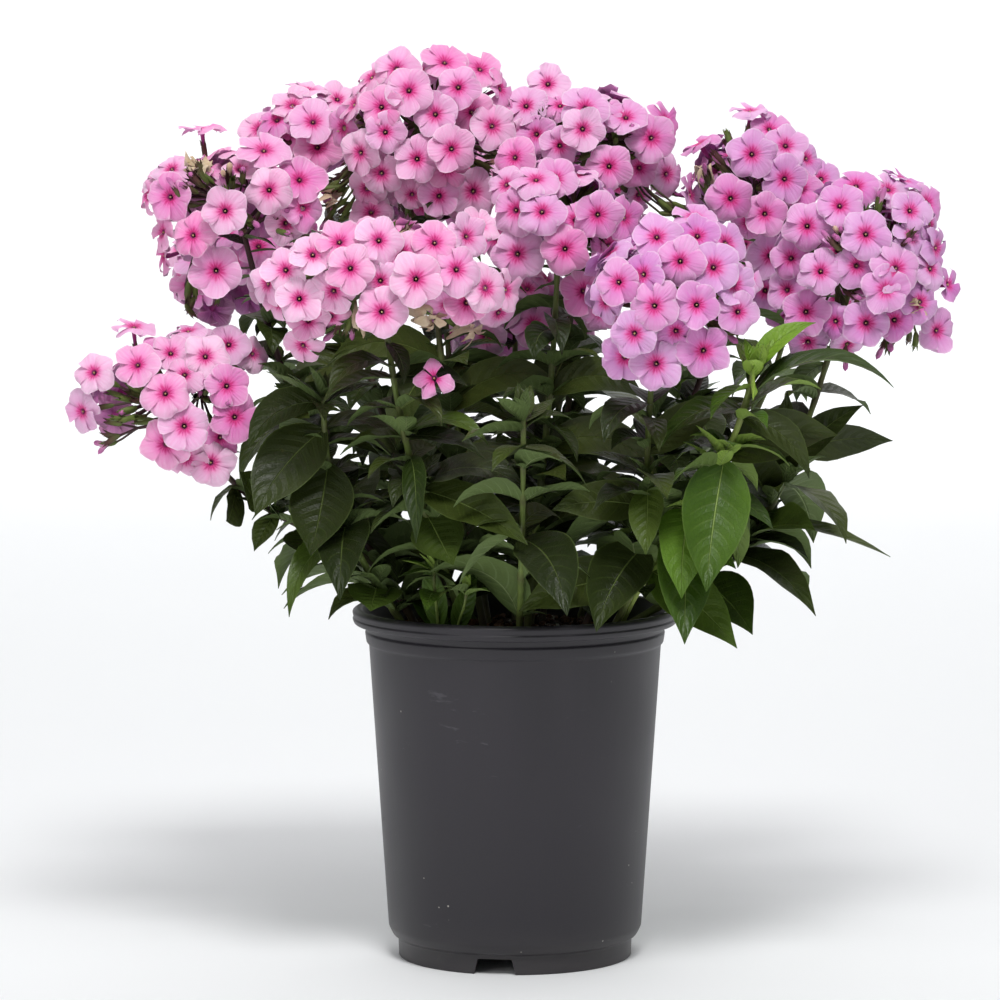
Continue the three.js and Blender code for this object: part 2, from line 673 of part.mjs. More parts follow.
// Five broad petals round a sunk throat, on a three-sided tube that ends at `root`.
function floretGeometry(floret, root) {
  const [u, v] = acrossOf(floret.face);
  const at = (radius, turn, height) => {
    const angle = floret.roll + turn;
    return floret.place.clone()
      .addScaledVector(u, radius * Math.cos(angle))
      .addScaledVector(v, radius * Math.sin(angle))
      .addScaledVector(floret.face, height);
  };
  const petal = (2 * Math.PI) / 5;
  const radius = FLORET_RADIUS * floret.size;
  const rim = [];
  for (let k = 0; k < 5; k++) {
    rim.push(at(0.76 * radius, (k - 0.5) * petal, 0));
    rim.push(at(radius, k * petal - 0.3, 0.4));
    rim.push(at(radius, k * petal + 0.3, -0.4));
  }
  const throat = at(0, 0, -FLORET_CUP);
  const neck = [0, 1, 2].map((k) => at(TUBE_RADIUS, (k * 2 * Math.PI) / 3 + 0.2, -FLORET_CUP - 1.6));
  const points = [...rim, throat, ...neck, root].map((p) => p.toArray());
  const [middle, collar, end] = [15, 16, 19];
  const faces = [];
  for (let i = 0; i < 15; i++) {
    const j = (i + 1) % 15;
    faces.push([i, j, middle]);
    faces.push([j, i, collar + Math.floor(i / 5)]);
  }
  for (let k = 0; k < 3; k++) {
    const next = (k + 1) % 3;
    faces.push([(5 * k + 5) % 15, collar + k, collar + next]);
    faces.push([collar + next, collar + k, end]);
  }
  return geometryOf(points, faces);
}

function headGeometry(shoot, index) {
  const centre = vector(shoot.head);
  const axis = headAxis(shoot);
  const core = new THREE.SphereGeometry(1, 7, 5);
  core.rotateX(Math.PI / 2);
  core.scale(...shoot.half.map((half) => half * CORE_SHARE));
  core.translate(...shoot.head);
  const foot = headFoot(shoot).addScaledVector(axis, GAP);
  const stalk = rod([foot, centre], [STEM_TIP_RADIUS, 3 * STEM_TIP_RADIUS], STEM_SIDES);
  const florets = floretsOf(shoot, index).map((floret) => toSolid(floretGeometry(floret, centre)));
  return toGeometry(joined([toSolid(core), toSolid(stalk), ...florets]));
}

// The twig's end and the floret's root, which meet a gap apart.
function sideFloretRoot() {
  const face = vector(SIDE_FLORET.face).normalize();
  return vector(SIDE_FLORET.place).addScaledVector(face, -SIDE_FLORET.tube);
}

function sideFloretGeometry() {
  const face = vector(SIDE_FLORET.face).normalize();
  const floret = { place: vector(SIDE_FLORET.place), face, roll: 0.3, size: 0.9 };
  return floretGeometry(floret, sideFloretRoot());
}

function twigGeometry(curve) {
  const start = stemPoint(curve, TWIG_SHARE);
  const end = sideFloretRoot();
  const back = start.clone().sub(end).normalize();
  end.addScaledVector(back, GAP);
  return rod([start, end], [TWIG_RADIUS, TWIG_RADIUS], STEM_SIDES);
}

// ---- Assembly ----

const PLASTIC = { color: 0x3a393e, roughness: 0.5, metalness: 0 };
const MIX = { color: 0x2e2219, roughness: 1, metalness: 0 };
const GREEN = { color: 0x3f6126, roughness: 0.6, metalness: 0 };
const PINK = { color: 0xe9a6d2, roughness: 0.7, metalness: 0 };

function part(name, geometry, look) {
  const mesh = new THREE.Mesh(geometry, new THREE.MeshStandardMaterial(look));
  mesh.name = name;
  return mesh;
}

const numbered = (name, i) => `${name}_${String(i + 1).padStart(2, '0')}`;

const flowering = SHOOTS.map((shoot) => {
  const top = headFoot(shoot);
  return { curve: stemCurve(shoot, top, headAxis(shoot)), size: 1, upright: 0, thickness: 1 };
});
const young = YOUNG_SHOOTS.map((shoot) => {
  const { tip, size, topLean = [0, 0] } = shoot;
  const curve = stemCurve(shoot, vector(tip), vector([...topLean, 1]).normalize());
  return { curve, size, upright: size < 0.6 ? 0.3 : 0, thickness: size };
});
const stems = [...flowering, ...young];
stems.forEach((stem, owner) => {
  const shares = Array.from({ length: 61 }, (_, i) => i / 60);
  take(shares.map((share) => stemPoint(stem.curve, share)), owner);
});
take([sideFloretRoot(), vector(SIDE_FLORET.place)], SIDE_FLORET_SHOOT);

const largeLeaves = stems.map(() => []);
for (const large of LARGE_LEAVES) {
  const leaf = clearLeaf(leafToTip(stems[large.stem].curve, large), large.stem);
  if (leaf) {
    largeLeaves[large.stem].push(leaf);
    take(leafSamples(leafChain(leaf)), null);
  }
}

const plant = new THREE.Group();
plant.add(part('pot', potGeometry(), PLASTIC));

const feet = stems.map(({ curve, thickness }) => {
  return { base: stemPath(curve)[0], radius: thickness * STEM_RADIUS };
});
plant.add(part('potting_mix', soilGeometry(feet), MIX));

stems.forEach((stem, owner) => {
  const { curve, size, upright, thickness } = stem;
  const path = stemPath(curve);
  const solids = [toSolid(rod(path, stemRadii(path.length, thickness), STEM_SIDES))];
  if (owner === SIDE_FLORET_SHOOT) {
    solids.push(toSolid(twigGeometry(curve)));
  }
  for (const leaf of [...largeLeaves[owner], ...leavesOf(curve, owner, size, upright)]) {
    solids.push(toSolid(leafGeometry(leaf)));
  }
  const name = owner < SHOOTS.length ? numbered('leafy_stem', owner)
    : numbered('young_shoot', owner - SHOOTS.length);
  plant.add(part(name, toGeometry(joined(solids)), GREEN));
});

SHOOTS.forEach((shoot, index) => {
  plant.add(part(numbered('flower_head', index), headGeometry(shoot, index), PINK));
});

plant.add(part('side_floret', sideFloretGeometry(), PINK));

export default plant;
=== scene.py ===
"""The looks of a garden phlox in a round nursery pot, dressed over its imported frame.

Lengths are millimetres until a mesh is made, which is in metres. +Z is up and the origin is on
the floor under the pot's middle.
"""

import functools
import itertools
import math

import bmesh
import bpy
import numpy as np
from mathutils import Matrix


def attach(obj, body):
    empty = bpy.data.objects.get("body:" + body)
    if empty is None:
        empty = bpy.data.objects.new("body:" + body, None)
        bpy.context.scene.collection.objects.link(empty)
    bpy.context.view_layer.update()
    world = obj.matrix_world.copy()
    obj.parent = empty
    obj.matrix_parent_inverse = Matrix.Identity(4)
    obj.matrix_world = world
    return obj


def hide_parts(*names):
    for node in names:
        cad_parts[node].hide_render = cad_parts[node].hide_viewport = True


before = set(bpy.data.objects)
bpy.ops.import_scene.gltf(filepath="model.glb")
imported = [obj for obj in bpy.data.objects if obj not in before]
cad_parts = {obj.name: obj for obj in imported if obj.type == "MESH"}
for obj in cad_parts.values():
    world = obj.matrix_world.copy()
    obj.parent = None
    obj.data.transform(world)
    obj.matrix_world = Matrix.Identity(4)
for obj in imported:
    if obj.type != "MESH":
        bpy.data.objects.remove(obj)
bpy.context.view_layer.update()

# ---- Dimensions, the same as the solids' ----

POT_HEIGHT = 178.0
LIP_RADIUS = 82.5
LIP_DEPTH = 8.0
WALL_TOP_RADIUS = 74.0
WALL_BOTTOM_RADIUS = 64.3
WALL = 1.8
FOOT_RADIUS = 59.2
FOOT_WIDTH = 4.4
FOOT_HEIGHT = 11.0
FLOOR_THICKNESS = 2.0
NOTCH_COUNT = 3
NOTCH_WIDTH = 21.0
NOTCH_HEIGHT = 8.0
NOTCH_ANGLE = -100.0
DRAIN_RADIUS = 6.0
DRAIN_CIRCLE = 32.0
DRAIN_ANGLE = 45.0
SOIL_TOP = 163.0
SOIL_RELIEF = 2.2

STEM_STEPS = 5
STEM_START = SOIL_TOP + 4
STEM_RADIUS = 2.3
STEM_TIP_RADIUS = 1.5
STEM_LEAN = 0.012
STEM_REACH = 0.42
AXIS_LEAN = 0.0018
NODE_SPACING = 46.0
PAIRS_STRETCH = 0.86
HEAD_FOOT = 0.8

LEAF_LENGTH = 78.0
LEAF_ASPECT = 0.24
LEAF_STEPS = 16
LEAF_STATIONS = (4, 10, 16)
LEAF_NECK = 9.0
LEAF_LOWEST = 163.0
LEAF_CLEARANCE = 5.5
HEAD_CLEARANCE = 6.0
LIP_CLEARANCE = 4.0
INNER_RADIUS = LIP_RADIUS - 14
SOIL_CLEARANCE = 8.0

# What a leaf tries, in this order, until nothing is in its way: shares of its length, and
# radians that it lifts or turns.
TRIED_SIZES = (1, 0.85, 0.7, 0.55)
TRIED_LIFTS = (0, 0.3, -0.3, 0.6, -0.6)
TRIED_TURNS = (0, 0.26, -0.26, 0.52, -0.52, 0.78, -0.78)

# The smaller leaves inside the plant, which the solids leave out.
FILL_SPACING = 18
FILL_CLEARANCE = 2.8
FILL_REACH = 150
FILL_LOWEST = 188

FLORET_RADIUS = 12.9
FLORET_SPACING = 21.0
HEAD_REACH = 106.0

# The camera's place, how far down it looks, and its depth and middle in the picture's points.
CAMERA_PLACE = (0, -2450, 475)
CAMERA_TILT = math.radians(5.66)
PICTURE_SIDE = 1000
PICTURE_DEPTH = 4870
PICTURE_MIDDLE = (515, 500)

# Each flowering shoot: its head's middle and half sizes, where its stem leaves the mix, how
# lilac its florets are, and how purple its stem is. Some add how far the stem leans out and
# reaches up, the way the head leans, and how far down its dome has florets.
SHOOTS = [
    dict(head=(-171, -20, 281), half=(46, 44, 42), root=(-50, -12), lean=0.006, reach=0.46,
         axis=(-0.75, -0.06), open=0.12, lilac=0.15, purple=0.7),
    dict(head=(-139, 5, 376), half=(45, 44, 41), root=(-50, 6), lilac=0.1, purple=1.0),
    dict(head=(-103, 80, 412), half=(33, 30, 29), root=(-30, 26), lilac=0.2, purple=0.6),
    dict(head=(-48, 20, 418), half=(43, 38, 41), root=(-16, 6), lilac=0.1, purple=0.5),
    dict(head=(-65, -110, 351), half=(64, 37, 30), root=(-24, -34), lilac=0.0, purple=0.1),
    dict(head=(36, 45, 412), half=(42, 38, 33), root=(8, 14), lilac=0.45, purple=0.5),
    dict(head=(22, -30, 374), half=(36, 36, 35), root=(6, -14), lilac=0.45, purple=0.3),
    dict(head=(71, -115, 339), half=(46, 44, 41), root=(46, -40), lilac=0.8, purple=0.35),
    dict(head=(119, 55, 381), half=(37, 38, 42), root=(36, 14), lilac=0.7, purple=0.8),
    dict(head=(170, -25, 350), half=(46, 46, 48), root=(52, -10), lean=0.032, reach=0.5,
         lilac=0.85, purple=0.4),
    dict(head=(-138, 110, 345), half=(43, 42, 38), root=(-40, 40), lilac=0.3, purple=0.8),
    dict(head=(-42, 110, 386), half=(37, 36, 37), root=(-14, 34), lilac=0.2, purple=0.5),
    dict(head=(35, 122, 378), half=(36, 38, 37), root=(14, 40), lilac=0.5, purple=0.6),
    dict(head=(150, 125, 335), half=(42, 38, 37), root=(42, 38), lilac=0.7, purple=0.4),
    dict(head=(0, 130, 314), half=(46, 33, 28), root=(0, 56), lilac=0.4, purple=0.5),
]

# Each shoot without flowers: where it leaves the mix, its tip, its size and how fresh a green.
YOUNG_SHOOTS = [
    dict(root=(50, -34), tip=(115, -112, 306), size=1, lean=0.008, top=(0.22, -0.05), fresh=0.75),
    dict(root=(-52, -32), tip=(-94, -66, 290), size=0.95, fresh=0.15),
    dict(root=(2, -52), tip=(4, -112, 284), size=0.9, fresh=0.2),
    dict(root=(-34, 54), tip=(-76, 116, 270), size=0.95, fresh=0.3),
    dict(root=(34, 54), tip=(88, 118, 276), size=0.95, fresh=0.4),
    dict(root=(-38, -51), tip=(-40, -62, 205), size=0.5, lean=0.0, fresh=0.5),
    dict(root=(-29, -56), tip=(-24, -70, 196), size=0.42, lean=0.0, fresh=0.5),
]

# The leaves that show most: the stem's number, from 0 up through both lists, the share of its
# length, the leaf's tip, its rise in radians, half its width, the way it faces, its freshness.
LARGE_LEAVES = [
    (15, 0.74, (92, -126, 200), -1, 15.5, (0, -1, 0.2), 0.75),
    (15, 0.47, (82, -114, 173), -0.8, 13.5, (0, -1, 0.2), 0.7),
    (7, 0.62, (63, -118, 217), -0.6, 8.5, (-0.3, -1, 0.2), 0.45),
    (7, 0.36, (40, -104, 177), -0.3, 14, (-0.1, -1, 0.3), 0.3),
    (7, 0.22, (2, -88, 185), 0.1, 12, (0, -1, 0.35), 0.3),
    (7, 0.53, (18, -98, 236), 0.3, 10.5, (0, -1, 0.5), 0.3),
    (4, 0.5, (6, -117, 221), -0.1, 10.5, (0.1, -1, 0.5), 0.35),
    (4, 0.62, (-48, -112, 221), -0.1, 6.5, (-0.6, -1, 0.3), 0.45),
    (4, 0.4, (-30, -100, 210), -0.5, 12.5, (0, -1, 0.4), 0.45),
    (4, 0.7, (-13, -112, 267), 0.7, 5.5, (0, -0.7, 1), 0.5),
    (16, 0.9, (-126, -86, 232), -0.5, 15, (-0.2, -1, 0.3), 0.05),
    (16, 0.78, (-101, -113, 229), -0.6, 15, (-0.1, -1, 0.3), 0.15),
    (16, 0.44, (-109, -88, 181), 0.2, 7, (-0.5, -1, 0.2), 0.5),
    (16, 0.22, (-71, -72, 184), -0.1, 13, (0, -1, 0.3), 0.5),
    (0, 0.74, (-130, -36, 210), -0.6, 6, (-0.3, -1, 0.3), 0.4),
    (0, 0.6, (-108, -46, 212), -0.6, 10, (0, -1, 0.4), 0.35),
    (20, 0.12, (-42, -61, 209), 1.45, 6, (0, -1, 0.3), 0.7),
    (21, 0.12, (-18, -72, 201), 1.3, 5, (0.2, -1, 0.4), 0.6),
    (15, 0.22, (108, -94, 168), -0.3, 12.5, (0, -1, 0.3), 0.55),
    (9, 0.22, (117, -66, 171), -0.1, 13, (0.1, -1, 0.3), 0.55),
    (9, 0.34, (147, -80, 181), 0.1, 9.5, (0.4, -1, 0.3), 0.2),
    (9, 0.42, (148, -66, 222), 0.5, 11, (0, -1, 0.9), 0.5),
    (9, 0.5, (185, -40, 205), -0.1, 5.5, (0.4, -0.6, 1), 0.35),
    (9, 0.7, (172, -56, 284), 0.8, 7.5, (0, -1, 0.3), 0.25),
    (15, 0.74, (158, -76, 270), 0.5, 12, (0, -1, 0.4), 0.05),
    (9, 0.46, (132, 12, 212), 0.5, 11, (0, 0.6, 0.8), 0.3),
    (15, 0.92, (182, -118, 294), 0.95, 9, (0.1, -0.3, 1), 0.5),
    # Freshness above 1 is partly painted light: a paler green on the tip leaves that lie in the heads'
    # shade.
    (15, 1, (121, -142, 311), 0.6, 7, (0.6, -1, 0.2), 1.5),
    (15, 1, (141, -86, 317), 0.8, 6, (0, -1, 0.6), 1.3),
    (15, 1, (137, -103, 331), 1.2, 4.5, (0, -1, 0.8), 1.3),
    (15, 0.88, (141, -106, 252), -0.2, 7.5, (0.6, -1, 0.3), 0.1),
    (9, 0.56, (113, -56, 271), 0.6, 11, (0, -1, 0.4), 0.05),
    (9, 0.74, (168, -48, 290), 0.9, 9, (0.2, -1, 0.4), 0.1),
    (9, 0.64, (134, -62, 292), 0.9, 8, (-0.2, -1, 0.5), 0.15),
    (0, 0.8, (-144, -44, 251), 0.5, 9, (0, -1, 0.5), 0.35),
    (0, 0.9, (-170, -44, 229), -0.9, 7.5, (0, -1, 0.2), 0.15),
    (16, 0.98, (-129, -84, 264), 0.2, 9, (-0.2, -1, 0.6), 0.05),
    (16, 1, (-77, -96, 294), 0.9, 9, (0, -1, 0.6), 0.1),
    (6, 0.7, (64, -50, 284), 0.7, 9, (0, -1, 0.4), 0.05),
    (6, 0.52, (70, -44, 246), 0.6, 10, (0, -1, 0.4), 0.05),
    (7, 0.74, (104, -84, 288), 0.8, 9, (0, -1, 0.4), 0.1),
    (1, 0.68, (-132, -34, 260), -0.2, 7, (-0.3, -1, 0.3), 0.3),
    (3, 0.62, (-94, -28, 298), 0.7, 9.5, (0, -1, 0.4), 0.0),
    (3, 0.5, (22, -20, 290), 0.9, 9.5, (0, -1, 0.4), 0.0),
]

# What was noted on each head's front, by its place in a picture of 1000 by 1000 points.
# Florets: across, down, how far the face turns right and up, size, millimetres deeper than the
# head's outside.
FLORETS_SEEN = {
    0: [(93, 372, -0.3, 0.2, 0.95, 0), (137, 364, -0.1, 0.35, 1.05, 0), (81, 412, -0.6, -0.05, 0.95, 0),
        (205, 356, 0.1, 0.2, 1, 0), (227, 386, 0.15, 0.05, 1, 0), (165, 393, -0.1, 0.05, 1, 0),
        (184, 374, 0, 0.3, 0.9, 8), (235, 417, 0.15, 0, 1, 0), (184, 426, 0, 0, 1.05, 0),
        (221, 438, 0.1, -0.15, 0.9, 7), (165, 445, -0.15, -0.1, 1.05, 2), (211, 463, 0.05, -0.2, 1, 0),
        (186, 459, -0.05, -0.4, 0.95, 6), (134, 325, 0, 0.985, 0.95, 10), (188, 329, 0, 0.93, 0.95, 6),
        (171, 352, 0.2, 0.6, 0.9, 12), (229, 344, 0.25, 0.45, 0.9, 8), (254, 353, 0.5, 0.3, 0.75, 6)],
    1: [(225, 211, 0.05, 0, 1, 0), (269, 190, 0, 0.1, 1.02, 0), (192, 235, -0.3, 0, 1, 0),
        (216, 271, -0.05, -0.12, 1.1, 0), (169, 197, -0.5, 0.05, 1, 0), (158, 181, -0.65, 0.3, 0.9, 6),
        (264, 149, 0, 0.65, 1.1, 0), (300, 179, 0.3, 0.25, 1.05, 0), (161, 232, -0.88, 0, 0.9, 3),
        (162, 256, -0.88, -0.15, 0.9, 3), (146, 196, -0.9, 0.1, 0.85, 8), (202, 127, -0.2, 0.95, 1, 10),
        (304, 208, 0.45, 0, 1, 2), (190, 287, -0.3, -0.6, 0.9, 10), (171, 168, -0.4, 0.6, 0.85, 14),
        (240, 168, 0.1, 0.7, 0.85, 16), (287, 224, 0.3, -0.2, 0.9, 10)],
    2: [(313, 121, 0, 0.3, 1.05, -8), (317, 147, 0.05, 0, 1.05, -6), (308, 88, 0.05, 0.95, 1.05, 4),
        (292, 104, -0.2, 0.6, 1, 2), (276, 119, -0.35, 0.45, 1, 0), (258, 128, -0.5, 0.35, 1, 2),
        (296, 131, -0.3, 0.2, 0.9, 8), (338, 98, 0.3, 0.4, 0.9, 8), (276, 146, -0.3, 0.1, 0.9, 10)],
    3: [(396, 68, -0.12, 0.45, 1.05, 0), (445, 61, 0.1, 0.6, 1, 2), (481, 68, 0.4, 0.5, 1.05, 0),
        (409, 90, 0, 0.12, 1.02, 0), (458, 87, 0.05, 0.12, 1, 0), (381, 107, -0.2, 0.02, 1, 0),
        (435, 114, 0, 0, 1.05, 6), (385, 132, -0.15, -0.05, 0.95, 2), (493, 126, 0.35, 0, 1.05, 0),
        (472, 112, 0.2, 0.05, 0.95, 9), (417, 159, 0, -0.1, 1, 5), (452, 149, 0.1, -0.08, 1.05, 0),
        (381, 174, -0.1, -0.2, 1, 3), (359, 153, -0.4, -0.1, 1, 0), (473, 192, 0.1, -0.08, 1.1, 0),
        (439, 196, 0, -0.08, 0.9, 2), (371, 211, 0, 0.62, 1.05, 0), (370, 76, -0.7, 0.5, 0.95, 3),
        (352, 104, -0.75, 0.25, 0.95, 4), (502, 88, 0.8, 0.3, 0.95, 4), (366, 190, -0.25, -0.35, 0.9, 8),
        (448, 170, 0.1, -0.5, 0.9, 8), (514, 116, 0.75, 0.15, 0.9, 5), (518, 138, 0.65, -0.35, 0.9, 4),
        (412, 196, 0.1, -0.5, 0.85, 10), (342, 128, -0.7, 0, 0.9, 8), (420, 70, 0, 0.7, 0.9, 12)],
    4: [(313, 254, 0, 0.3, 0.95, 0), (285, 270, -0.1, 0.12, 0.9, 2), (299, 299, 0, 0, 1.02, 0),
        (266, 284, -0.68, 0, 0.95, 3), (308, 321, 0.1, -0.2, 0.9, 4), (302, 347, -0.3, -0.4, 0.9, 4),
        (379, 240, 0, 0.35, 1.02, 0), (339, 241, -0.2, 0.4, 0.95, 0), (350, 268, -0.05, 0.08, 1.05, 0),
        (435, 242, 0.1, 0.2, 0.98, 0), (403, 252, 0, 0.5, 0.95, 8), (416, 279, 0, 0, 1.1, 0),
        (380, 281, 0, -0.05, 0.95, 8), (457, 269, 0.12, 0.08, 1.02, 0), (382, 312, 0, -0.08, 1.1, 0),
        (467, 303, 0.05, -0.12, 0.95, 3), (468, 236, 0.6, 0.35, 1, 4), (487, 288, 0.6, 0, 1, 0),
        (508, 290, 0.85, 0, 0.9, 2), (333, 292, -0.25, -0.35, 0.9, 6), (500, 314, 0.6, -0.45, 0.9, 3),
        (480, 224, 0.3, 0.75, 0.85, 12), (447, 306, 0.2, -0.6, 0.85, 8), (278, 303, -0.6, -0.3, 0.85, 6),
        (331, 318, 0, -0.55, 0.8, 12)],
    5: [(548, 83, 0, 0.45, 1, -6), (526, 105, -0.1, 0.4, 0.98, -4), (585, 107, 0, 0.42, 1.05, 0),
        (583, 129, 0.1, 0.08, 1, -4), (609, 166, 0, 0, 1.08, -4), (581, 188, -0.1, 0.05, 0.95, -2),
        (536, 134, -0.1, 0.1, 0.9, 6), (560, 146, -0.2, -0.1, 0.95, 2), (652, 138, 0.1, 0.02, 1.08, 0),
        (668, 174, 0.55, 0, 1, 0), (626, 116, 0, 0.65, 1, 6), (666, 120, 0.75, 0.25, 0.95, 8),
        (692, 194, 0.88, 0.15, 0.95, 6), (605, 112, 0.1, 0.6, 0.9, 10), (640, 168, 0.3, -0.1, 0.9, 10),
        (560, 104, -0.1, 0.6, 0.85, 12), (640, 196, 0.5, -0.4, 0.8, 10)],
    6: [(542, 211, 0, 0.3, 1.08, 0), (515, 210, -0.3, 0.1, 1.05, 2), (598, 215, 0.05, 0.02, 1.05, 0),
        (517, 254, 0, 0, 1.1, 0), (565, 249, 0, 0.02, 1.1, 0), (494, 238, -0.35, 0.05, 0.95, 6),
        (584, 291, 0.1, -0.1, 1.02, 4), (602, 312, 0.15, -0.35, 0.95, 6), (576, 219, 0.1, 0.3, 0.9, 8),
        (626, 218, 0.65, 0, 1, 2), (514, 157, -0.2, 0.2, 0.95, 4), (536, 178, -0.1, 0.75, 1.05, 2),
        (556, 178, 0.1, 0.5, 0.85, 10), (610, 246, 0.5, -0.2, 0.9, 8), (505, 184, -0.5, 0.3, 0.85, 6)],
    7: [(657, 236, -0.1, 0.4, 1, 0), (698, 235, 0.05, 0.42, 1, 0), (680, 261, 0, 0.12, 1, 0),
        (714, 267, 0.15, 0, 1.05, 0), (642, 274, -0.35, 0.02, 0.95, 2), (618, 282, -0.35, 0, 1, 0),
        (654, 306, -0.1, -0.08, 1, 0), (697, 305, 0, -0.08, 0.98, 0), (735, 284, 0.38, 0.08, 0.95, 2),
        (739, 312, 0.2, -0.08, 0.95, 0), (634, 334, -0.1, -0.12, 0.98, 0), (704, 351, 0.05, -0.18, 1, 0),
        (656, 364, 0, -0.12, 1, 0), (624, 358, -0.25, -0.22, 0.95, 2), (727, 242, 0.5, 0.3, 0.95, 4),
        (694, 216, 0.1, 0.8, 0.9, 10), (750, 276, 0.65, 0.15, 0.85, 4), (676, 332, 0, -0.4, 0.85, 8),
        (604, 302, -0.7, -0.1, 0.85, 8)],
    8: [(752, 154, 0, 0.15, 1.05, 0), (786, 145, 0.15, 0.3, 1, 0), (731, 199, -0.05, -0.05, 1.05, -6),
        (785, 179, 0.1, -0.02, 1, 4), (808, 158, 0.6, 0.3, 0.9, 4), (750, 109, 0, 0.985, 0.95, 8),
        (765, 214, 0.1, 0.2, 0.95, 2), (801, 187, 0.2, 0.1, 0.95, 4), (770, 256, 0, -0.12, 1, 8),
        (822, 178, 0.35, 0.4, 0.95, 6), (748, 222, 0, 0.1, 0.85, 10), (699, 142, -0.4, 0.84, 1, 4),
        (770, 128, 0.1, 0.6, 0.85, 14)],
    9: [(856, 185, 0, 0.5, 1.02, 0), (840, 205, 0, 0.28, 1.02, 0), (807, 226, -0.05, 0.08, 1.05, 0),
        (866, 234, 0.05, 0, 1.02, 0), (911, 210, 0.3, 0.3, 0.95, 0), (821, 271, 0, 0.08, 1, 0),
        (857, 266, 0.05, 0, 0.95, 7), (897, 268, 0.15, 0.08, 1.05, 0), (886, 290, 0.1, 0, 1, -2),
        (806, 312, 0, -0.08, 1.02, 0), (866, 323, 0, -0.12, 1, 2), (895, 320, 0.3, -0.12, 0.9, 6),
        (835, 322, -0.35, -0.12, 0.85, 6), (938, 331, 0.5, -0.1, 0.95, 0), (808, 343, 0, -0.35, 0.9, 8),
        (904, 178, 0.4, 0.8, 0.95, 4), (928, 202, 0.72, 0.25, 0.9, 2), (932, 224, 0.82, 0, 0.9, 2),
        (938, 248, 0.86, -0.1, 0.9, 3), (932, 268, 0.72, 0, 0.9, 6), (950, 284, 0.82, 0.15, 0.8, 4),
        (912, 236, 0.5, 0.05, 0.9, 6), (889, 188, 0.2, 0.6, 0.9, 6), (921, 302, 0.4, -0.05, 0.9, 4),
        (838, 250, -0.1, 0.2, 0.85, 12), (790, 258, -0.4, 0, 0.9, 8), (786, 290, -0.4, -0.1, 0.85, 10),
        (848, 346, 0.1, -0.7, 0.8, 8)],
}

# Tufts of buds and bare calyces: across, down, millimetres deeper, how many are in one.
TUFTS_SEEN = {
    0: [(124, 392, 6, 5), (122, 420, 4, 6), (200, 390, 12, 6), (214, 402, 14, 4)],
    1: [(200, 170, 4, 7), (232, 178, 4, 7), (188, 186, 2, 5), (192, 302, 8, 6), (246, 228, 12, 6),
        (302, 232, 16, 5), (280, 222, 8, 5)],
    2: [(290, 140, 8, 5), (318, 170, 8, 4)],
    3: [(331, 194, 10, 6), (338, 176, 16, 5), (338, 214, 14, 5), (408, 130, 14, 4),
        (495, 150, 12, 5), (406, 212, 12, 6), (485, 168, 6, 4)],
    4: [(345, 328, 10, 6), (440, 300, 14, 4), (400, 232, 10, 4), (462, 326, 12, 4), (325, 275, 16, 4)],
    5: [(545, 122, 10, 4), (620, 128, 6, 6), (575, 150, 12, 4), (636, 150, 10, 6), (634, 190, 6, 6),
        (675, 212, 4, 6), (548, 160, 8, 4)],
    6: [(596, 240, 14, 4), (530, 190, 10, 5), (560, 230, 16, 4)],
    7: [(668, 330, 14, 6), (730, 250, 10, 5), (668, 290, 16, 4), (720, 330, 12, 5)],
    8: [(764, 190, 14, 6), (727, 140, 4, 3), (720, 162, 10, 5), (708, 172, 12, 3), (704, 192, 6, 2)],
    9: [(838, 238, 3, 7), (876, 208, 4, 4), (890, 346, 8, 7), (850, 290, 16, 4), (845, 348, 8, 5),
        (905, 240, 6, 5), (922, 342, 6, 3)],
}

# Withered florets: across, down, millimetres deeper, size in millimetres.
WITHERED_SEEN = {
    1: [(198, 164, 0, 7), (193, 169, 1, 5)],
    3: [(344, 136, 4, 5), (329, 196, 8, 5)],
    4: [(430, 314, 2, 7), (436, 321, 2, 5), (473, 327, 2, 6), (413, 232, 4, 6), (421, 238, 4, 4),
        (361, 328, 6, 5)],
    8: [(703, 165, 2, 5)],
    9: [(922, 303, 0, 7), (917, 309, 0, 5)],
}

SIDE_FLORET = dict(place=(-39, -118, 303), face=(-0.15, -0.9, 0.35), tube=13.0)
SIDE_FLORET_SHOOT = 4
TWIG_SHARE = 0.78

# How deep florets lie, and tufts and withered florets: shares of the head's half sizes.
FLORET_DEPTH = 0.99
TUFT_DEPTH = 0.93

# ---- Small mathematics ----

UP = np.array([0.0, 0.0, 1.0])


def vec(values):
    return np.array(values, float)


def unit(v):
    v = np.asarray(v, float)
    return v / np.linalg.norm(v, axis=-1, keepdims=True)


def lerp(a, b, t):
    return a + (b - a) * t


def smooth(x, low, high):
    t = np.clip((x - low) / (high - low), 0, 1)
    return t * t * (3 - 2 * t)


class Dice:
    """Park and Miller's generator, as the solids use it."""

    FACTOR = 16807
    MODULUS = 2147483647

    def __init__(self, seed):
        self.state = seed

    def __call__(self, low, high):
        self.state = self.state * self.FACTOR % self.MODULUS
        return low + (high - low) * self.state / self.MODULUS


def bezier(curve, t):
    t = np.asarray(t, float)[..., None]
    a, b, c, d = curve
    return (1 - t) ** 3 * a + 3 * (1 - t) ** 2 * t * b + 3 * (1 - t) * t * t * c + t**3 * d


